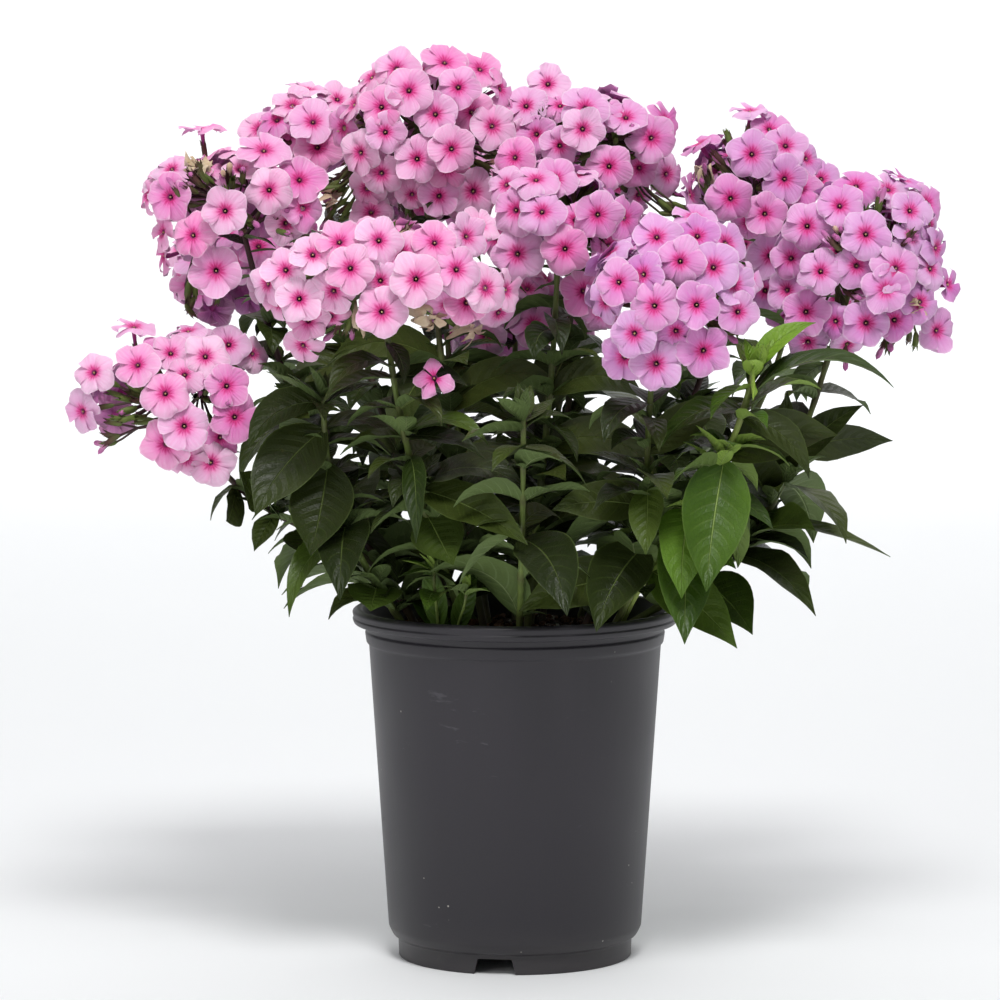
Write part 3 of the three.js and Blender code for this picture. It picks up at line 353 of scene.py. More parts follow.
def seen_on(shoot, across, down, deeper, share=FLORET_DEPTH):
    """The place on a head's front, or beside its middle, that shows at a point of the picture."""
    right = (across - PICTURE_MIDDLE[0]) / PICTURE_DEPTH
    up = (PICTURE_MIDDLE[1] - down) / PICTURE_DEPTH
    cos, sin = math.cos(CAMERA_TILT), math.sin(CAMERA_TILT)
    way = vec([right, cos + up * sin, up * cos - sin])
    half = vec(shoot["half"]) * share
    start, step = (vec(CAMERA_PLACE) - shoot["head"]) / half, way / half
    a, b, c = step @ step, start @ step, start @ start - 1
    ahead = -(b + math.sqrt(max(0, b * b - a * c))) / a
    return CAMERA_PLACE + way * (ahead + deeper)


# ---- Where stems and leaves stand ----


def stem_curve(shoot, top, way):
    root, lean = shoot["root"], shoot.get("lean", STEM_LEAN)
    start = vec([root[0], root[1], STEM_START])
    handle = shoot.get("reach", STEM_REACH) * np.linalg.norm(top - start)
    outwards = unit([root[0] * lean, root[1] * lean, 1])
    return np.array([start, start + outwards * handle, top - way * handle, top])


def stem_point(curve, share):
    """A place on the straight stretches between the curve's points, where the solids are."""
    points = bezier(curve, np.arange(STEM_STEPS + 1) / STEM_STEPS)
    share = np.asarray(share, float) * STEM_STEPS
    stretch = np.minimum(np.floor(share).astype(int), STEM_STEPS - 1)
    return lerp(points[stretch], points[stretch + 1], (share - stretch)[..., None])


def curve_length(curve):
    points = bezier(curve, np.arange(201) / 200)
    return np.linalg.norm(np.diff(points, axis=0), axis=1).sum()


def head_axis(shoot):
    x, y, _ = shoot["head"]
    return unit([*shoot.get("axis", (x * AXIS_LEAN, y * AXIS_LEAN)), 1])


def head_foot(shoot):
    return vec(shoot["head"]) - HEAD_FOOT * shoot["half"][2] * head_axis(shoot)


def leaf_outline(t):
    """A blade's width along its length, as a share of its widest."""
    return np.abs(np.sin(math.pi * t**0.75)) ** 0.9


def leaf_chain(leaf):
    """Places along the midrib, with the sideways and upward directions and half the width."""
    t = np.arange(LEAF_STEPS + 1) / LEAF_STEPS
    turn = leaf["azimuth"] + leaf["bend"] * t
    pitch = leaf["rise"] + (leaf["droop"] - leaf["rise"]) * t
    zero = np.zeros_like(t)
    out = np.stack([np.cos(turn), np.sin(turn), zero], -1)
    level = np.stack([-np.sin(turn), np.cos(turn), zero], -1)
    along = out * np.cos(pitch)[:, None] + UP * np.sin(pitch)[:, None]
    above = np.cross(along, level)
    cos, sin = math.cos(leaf["roll"]), math.sin(leaf["roll"])
    steps = along[:-1] * leaf["length"] / LEAF_STEPS
    place = leaf["base"] + np.concatenate([np.zeros((1, 3)), np.cumsum(steps, axis=0)])
    width = leaf["width"] * leaf_outline(t)
    return place, level * cos + above * sin, above * cos - level * sin, width


def leaf_samples(leaf):
    """Points on a blade, and beside it on the flat stretches that the solids make of it."""
    place, side, _, width = leaf_chain(leaf)
    across = np.array([-1, -0.5, 0, 0.5, 1])
    blade = place[:, None] + side[:, None] * (across[:, None] * width[:, None, None])
    first = max(3, math.ceil(LEAF_NECK / leaf["length"] * LEAF_STEPS))
    samples = []
    for i in range(first, LEAF_STEPS + 1):
        end = max(1, next(k for k, station in enumerate(LEAF_STATIONS) if station >= i))
        low, high = LEAF_STATIONS[end - 1], LEAF_STATIONS[end]
        samples += [blade[i], lerp(blade[low], blade[high], (i - low) / (high - low))]
    return np.concatenate(samples)


def inside_pot(points):
    """Which points are in the pot's wall, in its lip or in the mix."""
    radius = np.hypot(points[:, 0], points[:, 1])
    above, beside = POT_HEIGHT + LIP_CLEARANCE, LIP_RADIUS + LIP_CLEARANCE
    outside = (points[:, 2] > above) | (radius > beside)
    return ~outside & ((radius > INNER_RADIUS) | (points[:, 2] < SOIL_TOP + SOIL_CLEARANCE))


def inside_heads(points, grow=HEAD_CLEARANCE):
    inside = np.zeros(len(points), bool)
    for shoot in SHOOTS:
        away = (points - vec(shoot["head"])) / (vec(shoot["half"]) + grow)
        inside |= (away**2).sum(1) < 1
    return inside


class Taken:
    """What the plant fills already: points on stems and leaves."""

    def __init__(self):
        self.points = np.zeros((0, 3))
        self.stems = np.zeros(0, int)

    def add(self, points, stem):
        self.points = np.concatenate([self.points, points])
        self.stems = np.concatenate([self.stems, np.full(len(points), stem)])

    def meets(self, points, stem, gap):
        low, high = points.min(0) - gap, points.max(0) + gap
        near = ((self.points > low) & (self.points < high)).all(1) & (self.stems != stem)
        others = self.points[near]
        if not len(others):
            return False
        apart = points[:, None] - others[None]
        return bool(((apart**2).sum(-1) < gap**2).any())


taken = Taken()


def is_clear(leaf, stem, gap):
    points = leaf_samples(leaf)
    if (points[:, 2] <= LEAF_LOWEST).any() or inside_pot(points).any():
        return False
    return not inside_heads(points).any() and not taken.meets(points, stem, gap)


def clear_leaf(wanted, stem, gap=LEAF_CLEARANCE):
    """A leaf that would cross what is there turns, lifts or stays shorter until it is clear."""
    for size, lift, turn in itertools.product(TRIED_SIZES, TRIED_LIFTS, TRIED_TURNS):
        leaf = dict(wanted, azimuth=wanted["azimuth"] + turn)
        for key in ("length", "width"):
            leaf[key] *= size
        for key in ("rise", "droop"):
            leaf[key] += lift
        if is_clear(leaf, stem, gap):
            return leaf
    return None


def keep_leaf(leaf, stem):
    stem["leaves"].append(leaf)
    taken.add(leaf_samples(leaf), -1)


def leaf_to_tip(curve, share, tip, rise, width, face):
    """A leaf that bows evenly from its stem to a given tip."""
    base = stem_point(curve, share)
    way = vec(tip) - base
    chord = math.atan2(way[2], math.hypot(way[0], way[1]))
    bow = chord - rise
    azimuth = math.atan2(way[1], way[0])
    level = vec([-math.sin(azimuth), math.cos(azimuth), 0])
    above = np.cross(unit(way), level)
    roll = math.atan2(-np.dot(face, level), np.dot(face, above))
    length = np.linalg.norm(way) * bow / math.sin(bow)
    return dict(base=base, azimuth=azimuth, bend=0, rise=rise, droop=chord + bow, roll=roll,
                length=length, width=width, share=share)


def add_pairs(stem, owner):
    """Opposite pairs, each a quarter turn on from the one below."""
    random = Dice(7919 * (owner + 1))
    curve, size, upright = stem["curve"], stem["size"], stem["upright"]
    wide = curve_length(curve) * PAIRS_STRETCH / (NODE_SPACING * math.sqrt(size))
    pairs = max(2, math.floor(wide + 0.5))
    first = random(0, math.pi)
    for pair in range(pairs):
        share = 0.1 + 0.8 * pair / (pairs - 1)
        base = stem_point(curve, share)
        for which in range(2):
            grown = size * (1 - 0.5 * share**2) * random(0.82, 1.08)
            azimuth = first + pair * math.pi / 2 + which * math.pi + random(-0.3, 0.3)
            bend = random(-0.4, 0.4)
            rise = random(-0.1, 0.65) + upright + 0.6 * (1 - share) ** 3
            droop = random(-1.5, -0.85) + upright * 2
            roll = random(-0.5, 0.5)
            width = LEAF_LENGTH * LEAF_ASPECT * grown * (1 - 0.25 * share) * random(0.9, 1.1)
            wanted = dict(base=base, azimuth=azimuth, bend=bend, rise=rise, droop=droop, roll=roll,
                          length=LEAF_LENGTH * grown, width=width, share=share)
            leaf = clear_leaf(wanted, owner)
            if leaf:
                keep_leaf(leaf, stem)


def side_floret_root():
    return vec(SIDE_FLORET["place"]) - unit(SIDE_FLORET["face"]) * SIDE_FLORET["tube"]


def lay_out_stems():
    stems = []
    for shoot in SHOOTS:
        curve = stem_curve(shoot, head_foot(shoot), head_axis(shoot))
        stems.append(dict(curve=curve, size=1, upright=0, purple=shoot["purple"], fresh=0.2))
    for shoot in YOUNG_SHOOTS:
        way = unit([*shoot.get("top", (0, 0)), 1])
        curve = stem_curve(shoot, vec(shoot["tip"]), way)
        # The leaves of the shortest shoots stand up.
        upright = 0.3 if shoot["size"] < 0.6 else 0
        stems.append(dict(curve=curve, size=shoot["size"], upright=upright, purple=0.05,
                          fresh=shoot["fresh"]))
    for owner, stem in enumerate(stems):
        stem["leaves"] = []
        taken.add(stem_point(stem["curve"], np.arange(61) / 60), owner)
    taken.add(np.array([side_floret_root(), vec(SIDE_FLORET["place"])]), SIDE_FLORET_SHOOT)
    for owner, share, tip, rise, width, face, fresh in LARGE_LEAVES:
        leaf = clear_leaf(leaf_to_tip(stems[owner]["curve"], share, tip, rise, width, face), owner)
        if leaf:
            keep_leaf(dict(leaf, fresh=fresh), stems[owner])
    for owner, stem in enumerate(stems):
        add_pairs(stem, owner)
    return stems


def drawn(rng, value):
    """A number between the two of a pair, or a number as it is."""
    return rng.uniform(*value) if isinstance(value, tuple) else value


def loose_leaf(rng, base, azimuth, length, bend, rise, droop, roll, slender, grown=1):
    """A leaf whose angles and width are drawn from ranges."""
    angles = [drawn(rng, value) for value in (bend, rise, droop, roll)]
    leaf = dict(zip(("bend", "rise", "droop", "roll"), angles), base=base, azimuth=azimuth)
    leaf["length"] = length * drawn(rng, grown)
    leaf["width"] = leaf["length"] * drawn(rng, slender)
    return leaf


def add_leaves_between(stems):
    """The pairs that the solids leave out: one smaller pair between every two, inside the plant."""
    for owner, stem in enumerate(stems):
        curve = stem["curve"]
        rng = np.random.default_rng(300 + owner)
        pairs = max(4, round(curve_length(curve) / FILL_SPACING))
        inwards = math.atan2(-curve[3][1], -curve[3][0])
        for pair, which in itertools.product(range(pairs), range(2)):
            share = 0.16 + 0.8 * pair / (pairs - 1)
            azimuth = inwards + pair * 1.9 + which * math.pi + rng.uniform(-0.5, 0.5)
            length = (50 - 16 * share) * math.sqrt(stem["size"]) * rng.uniform(0.8, 1.15)
            wanted = loose_leaf(rng, stem_point(curve, share), azimuth, length, bend=(-0.4, 0.4),
                                rise=(0.1, 0.9), droop=(-1.4, -0.4), roll=(-0.5, 0.5),
                                slender=(0.17, 0.23))
            wanted["share"] = share
            tip = leaf_chain(wanted)[0][-1]
            if abs(tip[0]) > FILL_REACH or tip[2] < FILL_LOWEST:
                continue
            leaf = clear_leaf(wanted, owner, FILL_CLEARANCE)
            if leaf:
                keep_leaf(leaf, stem)


stems = lay_out_stems()
add_leaves_between(stems)

# ---- Meshes ----

# Room between two grids on the map, as a share of its side, and the map's spare width.
MAP_MARGIN = 0.012
MAP_ROOM = 1.04


def put(name, data):
    item = bpy.data.objects.new(name, data)
    bpy.context.scene.collection.objects.link(item)
    return item


def plain_mesh(name, points, faces):
    mesh = bpy.data.meshes.new(name)
    mesh.from_pydata((np.reshape(points, (-1, 3)) * 0.001).tolist(), [], faces)
    return mesh


def solid(name, points, faces, weld=False):
    """A closed mesh whose faces look outwards."""
    mesh = plain_mesh(name, points, faces)
    work = bmesh.new()
    work.from_mesh(mesh)
    if weld:
        bmesh.ops.remove_doubles(work, verts=work.verts, dist=1e-6)
    bmesh.ops.recalc_face_normals(work, faces=work.faces)
    work.to_mesh(mesh)
    work.free()
    return mesh


def around(sides):
    return np.arange(sides) * 2 * math.pi / sides


def ring_faces(rings, sides):
    """Quads between neighbouring rings of points."""
    faces = []
    for i, k in itertools.product(range(rings - 1), range(sides)):
        j = (k + 1) % sides
        faces.append((i * sides + k, i * sides + j, (i + 1) * sides + j, (i + 1) * sides + k))
    return faces


def triple(a, b, c):
    """Three numbers, or arrays of them, side by side."""
    return np.stack(np.broadcast_arrays(a, b, c), -1)


def flat32(values):
    return values.astype(np.float32).ravel()


def path_lengths(paths):
    return np.linalg.norm(np.diff(paths, axis=-2), axis=-1).sum(-1)


class Soup:
    """Grids of points that become one mesh. Every point carries two vectors for the materials."""

    def __init__(self):
        self.grids = []

    def grid(self, points, look, more, slot, size, flip=False):
        """Adds grids shaped (..., rows, columns, 3). size is one grid's in millimetres."""
        points = points.reshape((-1,) + points.shape[-3:])
        one = points.shape[1:]
        carried = []
        for values in (look, more):
            values = np.broadcast_to(values, np.broadcast_shapes(np.shape(values), one))
            carried.append(np.broadcast_to(values.reshape((-1,) + one), points.shape))
        self.grids.append((points, *carried, slot, size, flip))

    def tube(self, path, radii, sides, look, more, slot=0):
        """Round rods along paths shaped (..., steps, 3). look and more are given for each step."""
        along = unit(np.gradient(path, axis=-2))
        mean = np.abs(along.mean(-2))
        reference = np.eye(3)[mean.argmin(-1)][..., None, :]
        u = unit(np.cross(np.broadcast_to(reference, along.shape), along))
        v = np.cross(along, u)
        turn = np.linspace(0, 2 * math.pi, sides + 1)[:, None]
        ring = u[..., None, :] * np.cos(turn) + v[..., None, :] * np.sin(turn)
        points = path[..., None, :] + ring * np.asarray(radii)[..., None, None]
        length = float(path_lengths(path).mean())
        size = (2 * math.pi * float(np.mean(radii)), length)
        look, more = (x if np.ndim(x) == 1 else x[..., None, :] for x in (look, more))
        self.grid(points, look, more, slot, size, flip=True)

    def layout(self):
        """Each grid's corner on one square map, and the map's scale, by filling shelves."""
        sizes = np.array([size for points, *_, size, _ in self.grids for _ in points], float)
        margin = MAP_MARGIN * math.sqrt(sizes.prod(1).sum())
        sizes += margin
        width = max(math.sqrt(sizes.prod(1).sum()) * MAP_ROOM, sizes[:, 0].max())
        corners = np.zeros_like(sizes)
        x = y = shelf = 0.0
        for i in np.argsort(-sizes[:, 1], kind="stable"):
            if x + sizes[i, 0] > width:
                x, y = 0.0, y + shelf
                shelf = 0.0
            shelf = max(shelf, sizes[i, 1])
            corners[i] = x, y
            x += sizes[i, 0]
        return corners, sizes - margin, margin, max(width, y + shelf)

    def mesh(self, name):
        corners, sizes, margin, side = self.layout()
        places, looks, mores, uvs, faces, slots = [], [], [], [], [], []
        count = cell = 0
        for points, look, more, slot, _, flip in self.grids:
            many, rows, columns, _ = points.shape
            corner = np.arange(rows - 1)[:, None] * columns + np.arange(columns - 1)
            quad = np.stack([corner, corner + columns, corner + columns + 1, corner + 1], -1)
            quad = quad.reshape(-1, 4)
            if flip:
                # From the same corner, so that a blade's two sides split alike and don't cross.
                quad = quad[:, [0, 3, 2, 1]]
            start = count + np.arange(many)[:, None, None] * rows * columns
            faces.append((quad[None] + start).reshape(-1, 4))
            slots.append(np.full(many * len(quad), slot))
            share = np.stack(np.meshgrid(np.linspace(0, 1, columns), np.linspace(0, 1, rows)), -1)
            own = slice(cell, cell + many)
            uv = corners[own, None, None] + margin / 2 + share[None] * sizes[own, None, None]
            uvs.append(uv.reshape(-1, 2) / side)
            for into, values in ((places, points), (looks, look), (mores, more)):
                into.append(np.asarray(values, float).reshape(-1, 3))
            count += many * rows * columns
            cell += many
        faces, uvs = np.concatenate(faces), np.concatenate(uvs)
        mesh = bpy.data.meshes.new(name)
        mesh.vertices.add(count)
        mesh.vertices.foreach_set("co", flat32(np.concatenate(places) * 0.001))
        mesh.loops.add(faces.size)
        mesh.loops.foreach_set("vertex_index", faces.astype(np.int32).ravel())
        mesh.polygons.add(len(faces))
        mesh.polygons.foreach_set("loop_start", np.arange(0, faces.size, 4, dtype=np.int32))
        mesh.polygons.foreach_set("material_index", np.concatenate(slots).astype(np.int32))
        mesh.update(calc_edges=True)
        mesh.shade_smooth()
        for key, values in (("look", looks), ("more", mores)):
            layer = mesh.attributes.new(key, "FLOAT_VECTOR", "POINT")
            layer.data.foreach_set("vector", flat32(np.concatenate(values)))
        layer = mesh.uv_layers.new(name="OFBake")
        layer.uv.foreach_set("vector", flat32(uvs[faces.ravel()]))
        return mesh


def show(name, mesh, materials, node):
    """Puts a mesh in the scene as a piece of the plant that stands for a CAD node."""
    for material in materials:
        mesh.materials.append(material)
    piece = put(name, mesh)
    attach(piece, "root")
    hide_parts(node)


# ---- Materials ----


def tint(code):
    """A linear colour from a hexadecimal screen colour."""
    values = [int(code[i:i + 2], 16) / 255 for i in (1, 3, 5)]
    linear = (c / 12.92 if c <= 0.04045 else ((c + 0.055) / 1.055) ** 2.4 for c in values)
    return (*linear, 1.0)


class Shader:
    """A material on one principled shader, with short names for the nodes that feed it.

    A colour is a hexadecimal screen colour, four linear numbers or another node's output.
    """

    def __init__(self, name, **settings):
        self.material = bpy.data.materials.new(name)
        self.material.use_nodes = True
        self.tree = self.material.node_tree
        self.tree.nodes.clear()
        self.body = self.tree.nodes.new("ShaderNodeBsdfPrincipled")
        output = self.tree.nodes.new("ShaderNodeOutputMaterial")
        self.tree.links.new(self.body.outputs[0], output.inputs["Surface"])
        for key, value in settings.items():
            self.body.inputs[key.replace("_", " ")].default_value = value

    def node(self, kind, inputs=(), **settings):
        node = self.tree.nodes.new("ShaderNode" + kind)
        for key, value in settings.items():
            setattr(node, key, value)
        for key, value in dict(inputs).items():
            self.feed(node.inputs[key], value)
        return node

    def feed(self, socket, value):
        if isinstance(value, bpy.types.NodeSocket):
            self.tree.links.new(value, socket)
        else:
            socket.default_value = tint(value) if isinstance(value, str) else value

    def math(self, operation, *values):
        return self.node("Math", enumerate(values), operation=operation).outputs[0]

    def add(self, a, b):
        return self.math("ADD", a, b)

    def minus(self, a, b):
        return self.math("SUBTRACT", a, b)

    def times(self, a, b):
        return self.math("MULTIPLY", a, b)

    def positive(self, value):
        return self.math("ABSOLUTE", value)

    def total(self, *terms):
        """The sum of pairs of a value and its weight."""
        sums = [self.times(value, weight) for value, weight in terms]
        return functools.reduce(self.add, sums)

    def step(self, value, low, high, start=0.0, end=1.0):
        """Goes smoothly from start to end while value goes from low to high."""
        inputs = {"Value": value, "From Min": low, "From Max": high, "To Min": start, "To Max": end}
        return self.node("MapRange", inputs, interpolation_type="SMOOTHSTEP").outputs[0]

    def mix(self, share, a, b):
        return self.node("Mix", {0: share, 6: a, 7: b}, data_type="RGBA").outputs[2]

    def coats(self, colour, *coats):
        """Lays coats over a colour, each a share and the coat's own colour."""
        for share, coat in coats:
            colour = self.mix(share, colour, coat)
        return colour

    def parts(self, name):
        """The three numbers of a vector that the mesh carries."""
        attribute = self.node("Attribute", attribute_type="GEOMETRY", attribute_name=name)
        return self.node("SeparateXYZ", {"Vector": attribute.outputs["Vector"]}).outputs

    def place(self):
        return self.node("TexCoord").outputs["Object"]

    def scaled(self, vector, scale):
        return self.node("Mapping", {"Vector": vector, "Scale": scale}).outputs[0]

    def noise(self, vector, scale, detail=2.0, rough=0.5, distortion=0.0):
        inputs = {"Vector": vector, "Scale": scale, "Detail": detail, "Roughness": rough}
        return self.node("TexNoise", {**inputs, "Distortion": distortion}).outputs[0]

    def cells(self, vector, scale, feature="F1"):
        inputs = {"Vector": vector, "Scale": scale}
        return self.node("TexVoronoi", inputs, feature=feature).outputs["Distance"]

    def finish(self, colour, rough, height, strength):
        """Feeds the shader. The height of the bump is in metres."""
        bump = self.node("Bump", {"Height": height, "Distance": 1.0, "Strength": strength})
        self.feed(self.body.inputs["Base Color"], colour)
        self.feed(self.body.inputs["Roughness"], rough)
        self.feed(self.body.inputs["Normal"], bump.outputs[0])
        return self.material


def leaf_material():
    s = Shader("leaf", Specular_IOR_Level=0.3)
    across, along, tone = s.parts("look")
    under, fresh, seed = s.parts("more")
    place = s.place()
    off = s.positive(across)
    # Side veins leave the midrib, bow forwards and fade towards the margin.
    bowed = s.minus(along, s.times(s.math("POWER", off, 1.4), 0.20))
    phase = s.math("FRACT", s.total((bowed, 8.0), (s.math("SIGN", across), 0.2)))
    from_vein = s.positive(s.minus(phase, 0.5))
    side_vein = s.times(s.step(from_vein, 0.12, 0.0), s.step(off, 0.95, 0.45))
    midrib = s.step(off, 0.042, 0.010)
    net = s.step(s.cells(place, 380.0, "DISTANCE_TO_EDGE"), 0.16, 0.0)
    patches = s.noise(place, 38.0, 3.0)
    fine = s.noise(place, 900.0)

    shade = s.step(s.total((tone, 0.7), (patches, 0.5)), 0.25, 0.95)
    old, new = s.mix(shade, "#1d260a", "#424c1d"), s.mix(shade, "#34540e", "#638a26")
    # Painted sheen: a grey-green cast on the outer half of each leaf, stronger on fresher leaves, that
    # stands in for reflected light.
    painted_sheen = s.times(s.step(along, 0.45, 1.0), s.step(fresh, 0.3, 0.7, 0.10, 0.22))
    veined = s.times(side_vein, s.step(fresh, 0.1, 0.7, 0.05, 0.12))
    rib = s.times(s.step(along, 0.0, 0.95, 0.75, 0.25), s.step(fresh, 0.0, 0.7, 0.30, 1.0))
    spots = s.step(s.noise(place, 60.0, 3.0, 0.6), 0.70, 0.78)
    blemish = s.times(spots, s.step(seed, 0.5, 0.7, 0.0, 0.7))
    top = s.coats(
        old,
        (s.step(fresh, 0.25, 1.05), new),
        # Freshness above 1 gives a paler yellow-green. This is partly the young tips' own colour and
        # partly painted light on tip leaves that lie in the heads' shade.
        (s.step(fresh, 1.0, 1.5), "#8db536"),
        (painted_sheen, "#49602a"),
        (veined, "#7d9245"),
        (s.times(net, 0.10), "#1d2a12"),
        (s.step(off, 0.94, 1.0, 0.0, 0.22), "#7f964e"),
        (s.times(midrib, rib), "#9db460"),
        (blemish, "#74602f"),
    )
    below = s.coats(
        s.mix(patches, "#4c5c33", "#6f844a"),
        (s.step(fresh, 0.4, 1.3), "#9dbd4e"),
        (s.times(side_vein, 0.3), "#8fa26e"),
        (s.times(midrib, 0.8), "#a5b67e"),
    )
    rough = s.add(s.step(patches, 0.3, 0.7, 0.38, 0.50), s.times(under, 0.18))
    swell = s.times(s.math("SINE", s.times(phase, math.pi)), s.step(off, 1.0, 0.3))
    height = s.total((swell, -0.0004), (side_vein, -0.00012), (midrib, -0.0007),
                     (net, -0.00008), (fine, 0.00006))
    return s.finish(s.mix(under, top, below), rough, height, 0.8)


def stem_material():
    s = Shader("stem", Specular_IOR_Level=0.4)
    share, _, purple = s.parts("look")
    knot, fresh, _ = s.parts("more")
    place = s.place()
    streaks = s.noise(s.scaled(place, (420.0, 420.0, 28.0)), 1.0, 3.0)
    blotch = s.noise(place, 45.0)
    hairs = s.noise(place, 2600.0, 1.0)
    green = s.mix(streaks, "#4c5c28", "#7d9048")
    brown = s.mix(streaks, "#2b1a1d", "#573a38")
    amount = s.add(purple, s.times(s.minus(blotch, 0.5), 0.9))
    colour = s.coats(
        green,
        (s.step(fresh, 0.4, 0.9), "#a9bb62"),
        (s.step(amount, 0.25, 0.8), brown),
        (s.times(knot, 0.5), "#402a2c"),
        (s.step(share, 0.12, 0.0, 0.0, 0.6), "#493a28"),
    )
    height = s.total((streaks, 0.00025), (hairs, 0.00012))
    return s.finish(colour, s.step(blotch, 0.3, 0.7, 0.45, 0.6), height, 0.8)


# What a grid of petal material is: the first of the numbers in its "more".
FRONT, BACK, TUBE, ANTHER, BUD, DRIED = range(6)


def petal_material():
    s = Shader("petal", Specular_IOR_Level=0.25, Sheen_Weight=0.1, Sheen_Roughness=0.5,
               Subsurface_Weight=0.15, Subsurface_Scale=0.003, Subsurface_Radius=(1.0, 0.45, 0.8))
    radial, across, edge = s.parts("look")
    kind, lilac, tone = s.parts("more")
    place = s.place()
    off = s.positive(across)
    lengthwise = {"X": s.times(across, 6.0), "Y": s.times(radial, 1.1), "Z": s.times(tone, 90.0)}
    streak = s.noise(s.node("CombineXYZ", lengthwise).outputs[0], 1.0)
    cloud = s.noise(place, 170.0)
    lean = s.minus(streak, 0.5)

    # Front: a pale margin, a deeper middle, and a star with a long ray on each petal's midrib
    # and short ones beside it, round a dull throat.
    pale, deep = s.mix(lilac, "#f9c6e6", "#e2abdd"), s.mix(lilac, "#f283c0", "#d272c1")
    wash = s.add(s.step(radial, 0.2, 0.9, 0.72, 0.36), s.minus(tone, 0.5))
    wash = s.add(wash, s.times(lean, 0.7))
    glow = s.step(s.add(radial, s.times(lean, 0.3)), 0.56, 0.10, 0.0, 0.80)
    long_ray = s.step(off, 0.30, 0.0, 0.0, 0.13)
    short_ray = s.step(s.positive(s.minus(off, 0.5)), 0.2, 0.0, 0.0, 0.09)
    ray = s.add(s.add(long_ray, short_ray), s.times(lean, 0.16))
    front = s.coats(
        pale,
        (s.math("MAXIMUM", wash, 0.0), deep),
        (s.step(edge, 0.5, 1.0, 0.0, 0.35), "#fff2fb"),
        (glow, "#f24fa6"),
        (s.step(s.minus(radial, ray), 0.34, 0.10, 0.0, 0.85), "#cc1a72"),
        (s.step(radial, 0.17, 0.12, 0.0, 0.7), "#a02a68"),
        (s.step(radial, 0.115, 0.09), "#8c2250"),
    )
    back = s.coats(
        s.mix(lilac, "#e6a8d4", "#cf93d4"),
        (s.step(radial, 0.75, 0.15, 0.0, 0.75), "#b0529e"),
        (s.step(streak, 0.45, 0.7, 0.0, 0.25), "#bf78b3"),
    )
    clouded = s.step(s.add(radial, s.times(cloud, 0.5)), 0.2, 1.2)
    others = {
        BACK: back,
        TUBE: s.mix(clouded, "#b0468f", "#6f2a5f"),
        ANTHER: s.mix(cloud, "#dccb9a", "#a5844c"),
        BUD: s.mix(s.step(radial, 0.1, 0.9), "#e8aace", "#bd68a2"),
        DRIED: s.mix(cloud, "#ecd9c0", "#b8946c"),
    }
    coats = [(s.math("GREATER_THAN", kind, k - 0.5), other) for k, other in others.items()]
    height = s.total((streak, 0.0006), (s.noise(place, 1500.0, 1.0), 0.00005))
    return s.finish(s.coats(front, *coats), s.step(cloud, 0.3, 0.7, 0.5, 0.64), height, 0.8)


def calyx_material():
    s = Shader("calyx", Specular_IOR_Level=0.35)
    along, _, tone = s.parts("look")
    cloud = s.noise(s.place(), 260.0, 3.0)
    share = s.add(s.times(along, 0.75), s.times(s.minus(tone, 0.5), 1.1))
    green, purple = s.mix(cloud, "#3b4a1f", "#748440"), s.mix(cloud, "#33201f", "#6b4340")
    colour = s.mix(s.step(share, 0.15, 0.9), green, purple)
    return s.finish(colour, s.step(cloud, 0.3, 0.7, 0.5, 0.68), s.times(cloud, 0.0002), 0.7)


def pot_material():
    s = Shader("pot_plastic", Specular_IOR_Level=0.5)
    place = s.place()
    height = s.node("SeparateXYZ", {"Vector": place}).outputs[2]
    broad = s.noise(place, 9.0, 3.0)
    grain = s.noise(place, 1400.0, 2.0, 0.6)
    drawn = s.noise(s.scaled(place, (70.0, 70.0, 5.0)), 1.0, 4.0, 0.6)
    scuff = s.noise(s.scaled(place, (38.0, 38.0, 150.0)), 1.0, 4.0, 0.65, 0.4)
    scuffs = s.times(s.step(scuff, 0.66, 0.74), s.step(s.noise(place, 16.0), 0.48, 0.66))
    specks = s.step(s.cells(place, 130.0), 0.075, 0.045)
    dust = s.times(specks, s.step(s.noise(place, 30.0), 0.56, 0.64))
    colour = s.coats(
        s.mix(s.total((broad, 0.6), (drawn, 0.4)), "#1b181e", "#29252d"),
        # Painted shade: the wall grows darker towards the bottom of the pot.
        (s.step(height, 0.13, 0.0, 0.0, 0.65), "#141218"),
        # Painted shade: the top of the wall and the lip are darker, as if in the foliage's shadow.
        (s.step(height, 0.148, 0.172, 0.0, 0.35), "#141218"),
        (s.times(grain, 0.14), "#454248"),
        (s.times(scuffs, 0.30), "#77757c"),
        (s.times(dust, 0.75), "#b9b4ac"),
        (s.times(s.step(height, 0.03, 0.0, 0.0, 0.2), scuff), "#6a655f"),
    )
    rough = s.add(s.step(broad, 0.3, 0.7, 0.36, 0.46), s.total((scuffs, 0.22), (grain, 0.06)))
    relief = s.total((grain, 0.00003), (drawn, 0.00012), (dust, 0.00012))
    return s.finish(colour, rough, relief, 0.6)


def crumb_material(name, dark, light, rough):
    s = Shader(name, Specular_IOR_Level=0.2)
    place = s.place()
    lumps, patch = s.noise(place, 320.0, 5.0, 0.7), s.noise(place, 40.0, 3.0)
    grains = s.cells(place, 700.0)
    colour = s.mix(s.total((lumps, 0.8), (patch, 0.3)), dark, light)
    colour = s.mix(s.step(grains, 0.55, 0.85, 0.0, 0.5), colour, dark)
    height = s.total((lumps, 0.0016), (grains, 0.0006))
    return s.finish(colour, s.step(lumps, 0.2, 0.8, rough - 0.1, rough), height, 1.0)


LEAF, STEM, PETAL, CALYX = leaf_material(), stem_material(), petal_material(), calyx_material()

# ---- Pot ----

CORNER_BOW = 1.1
POT_SIDES = 160
HOLE_SIDES = 24
SHARP_ANGLE = math.radians(38)


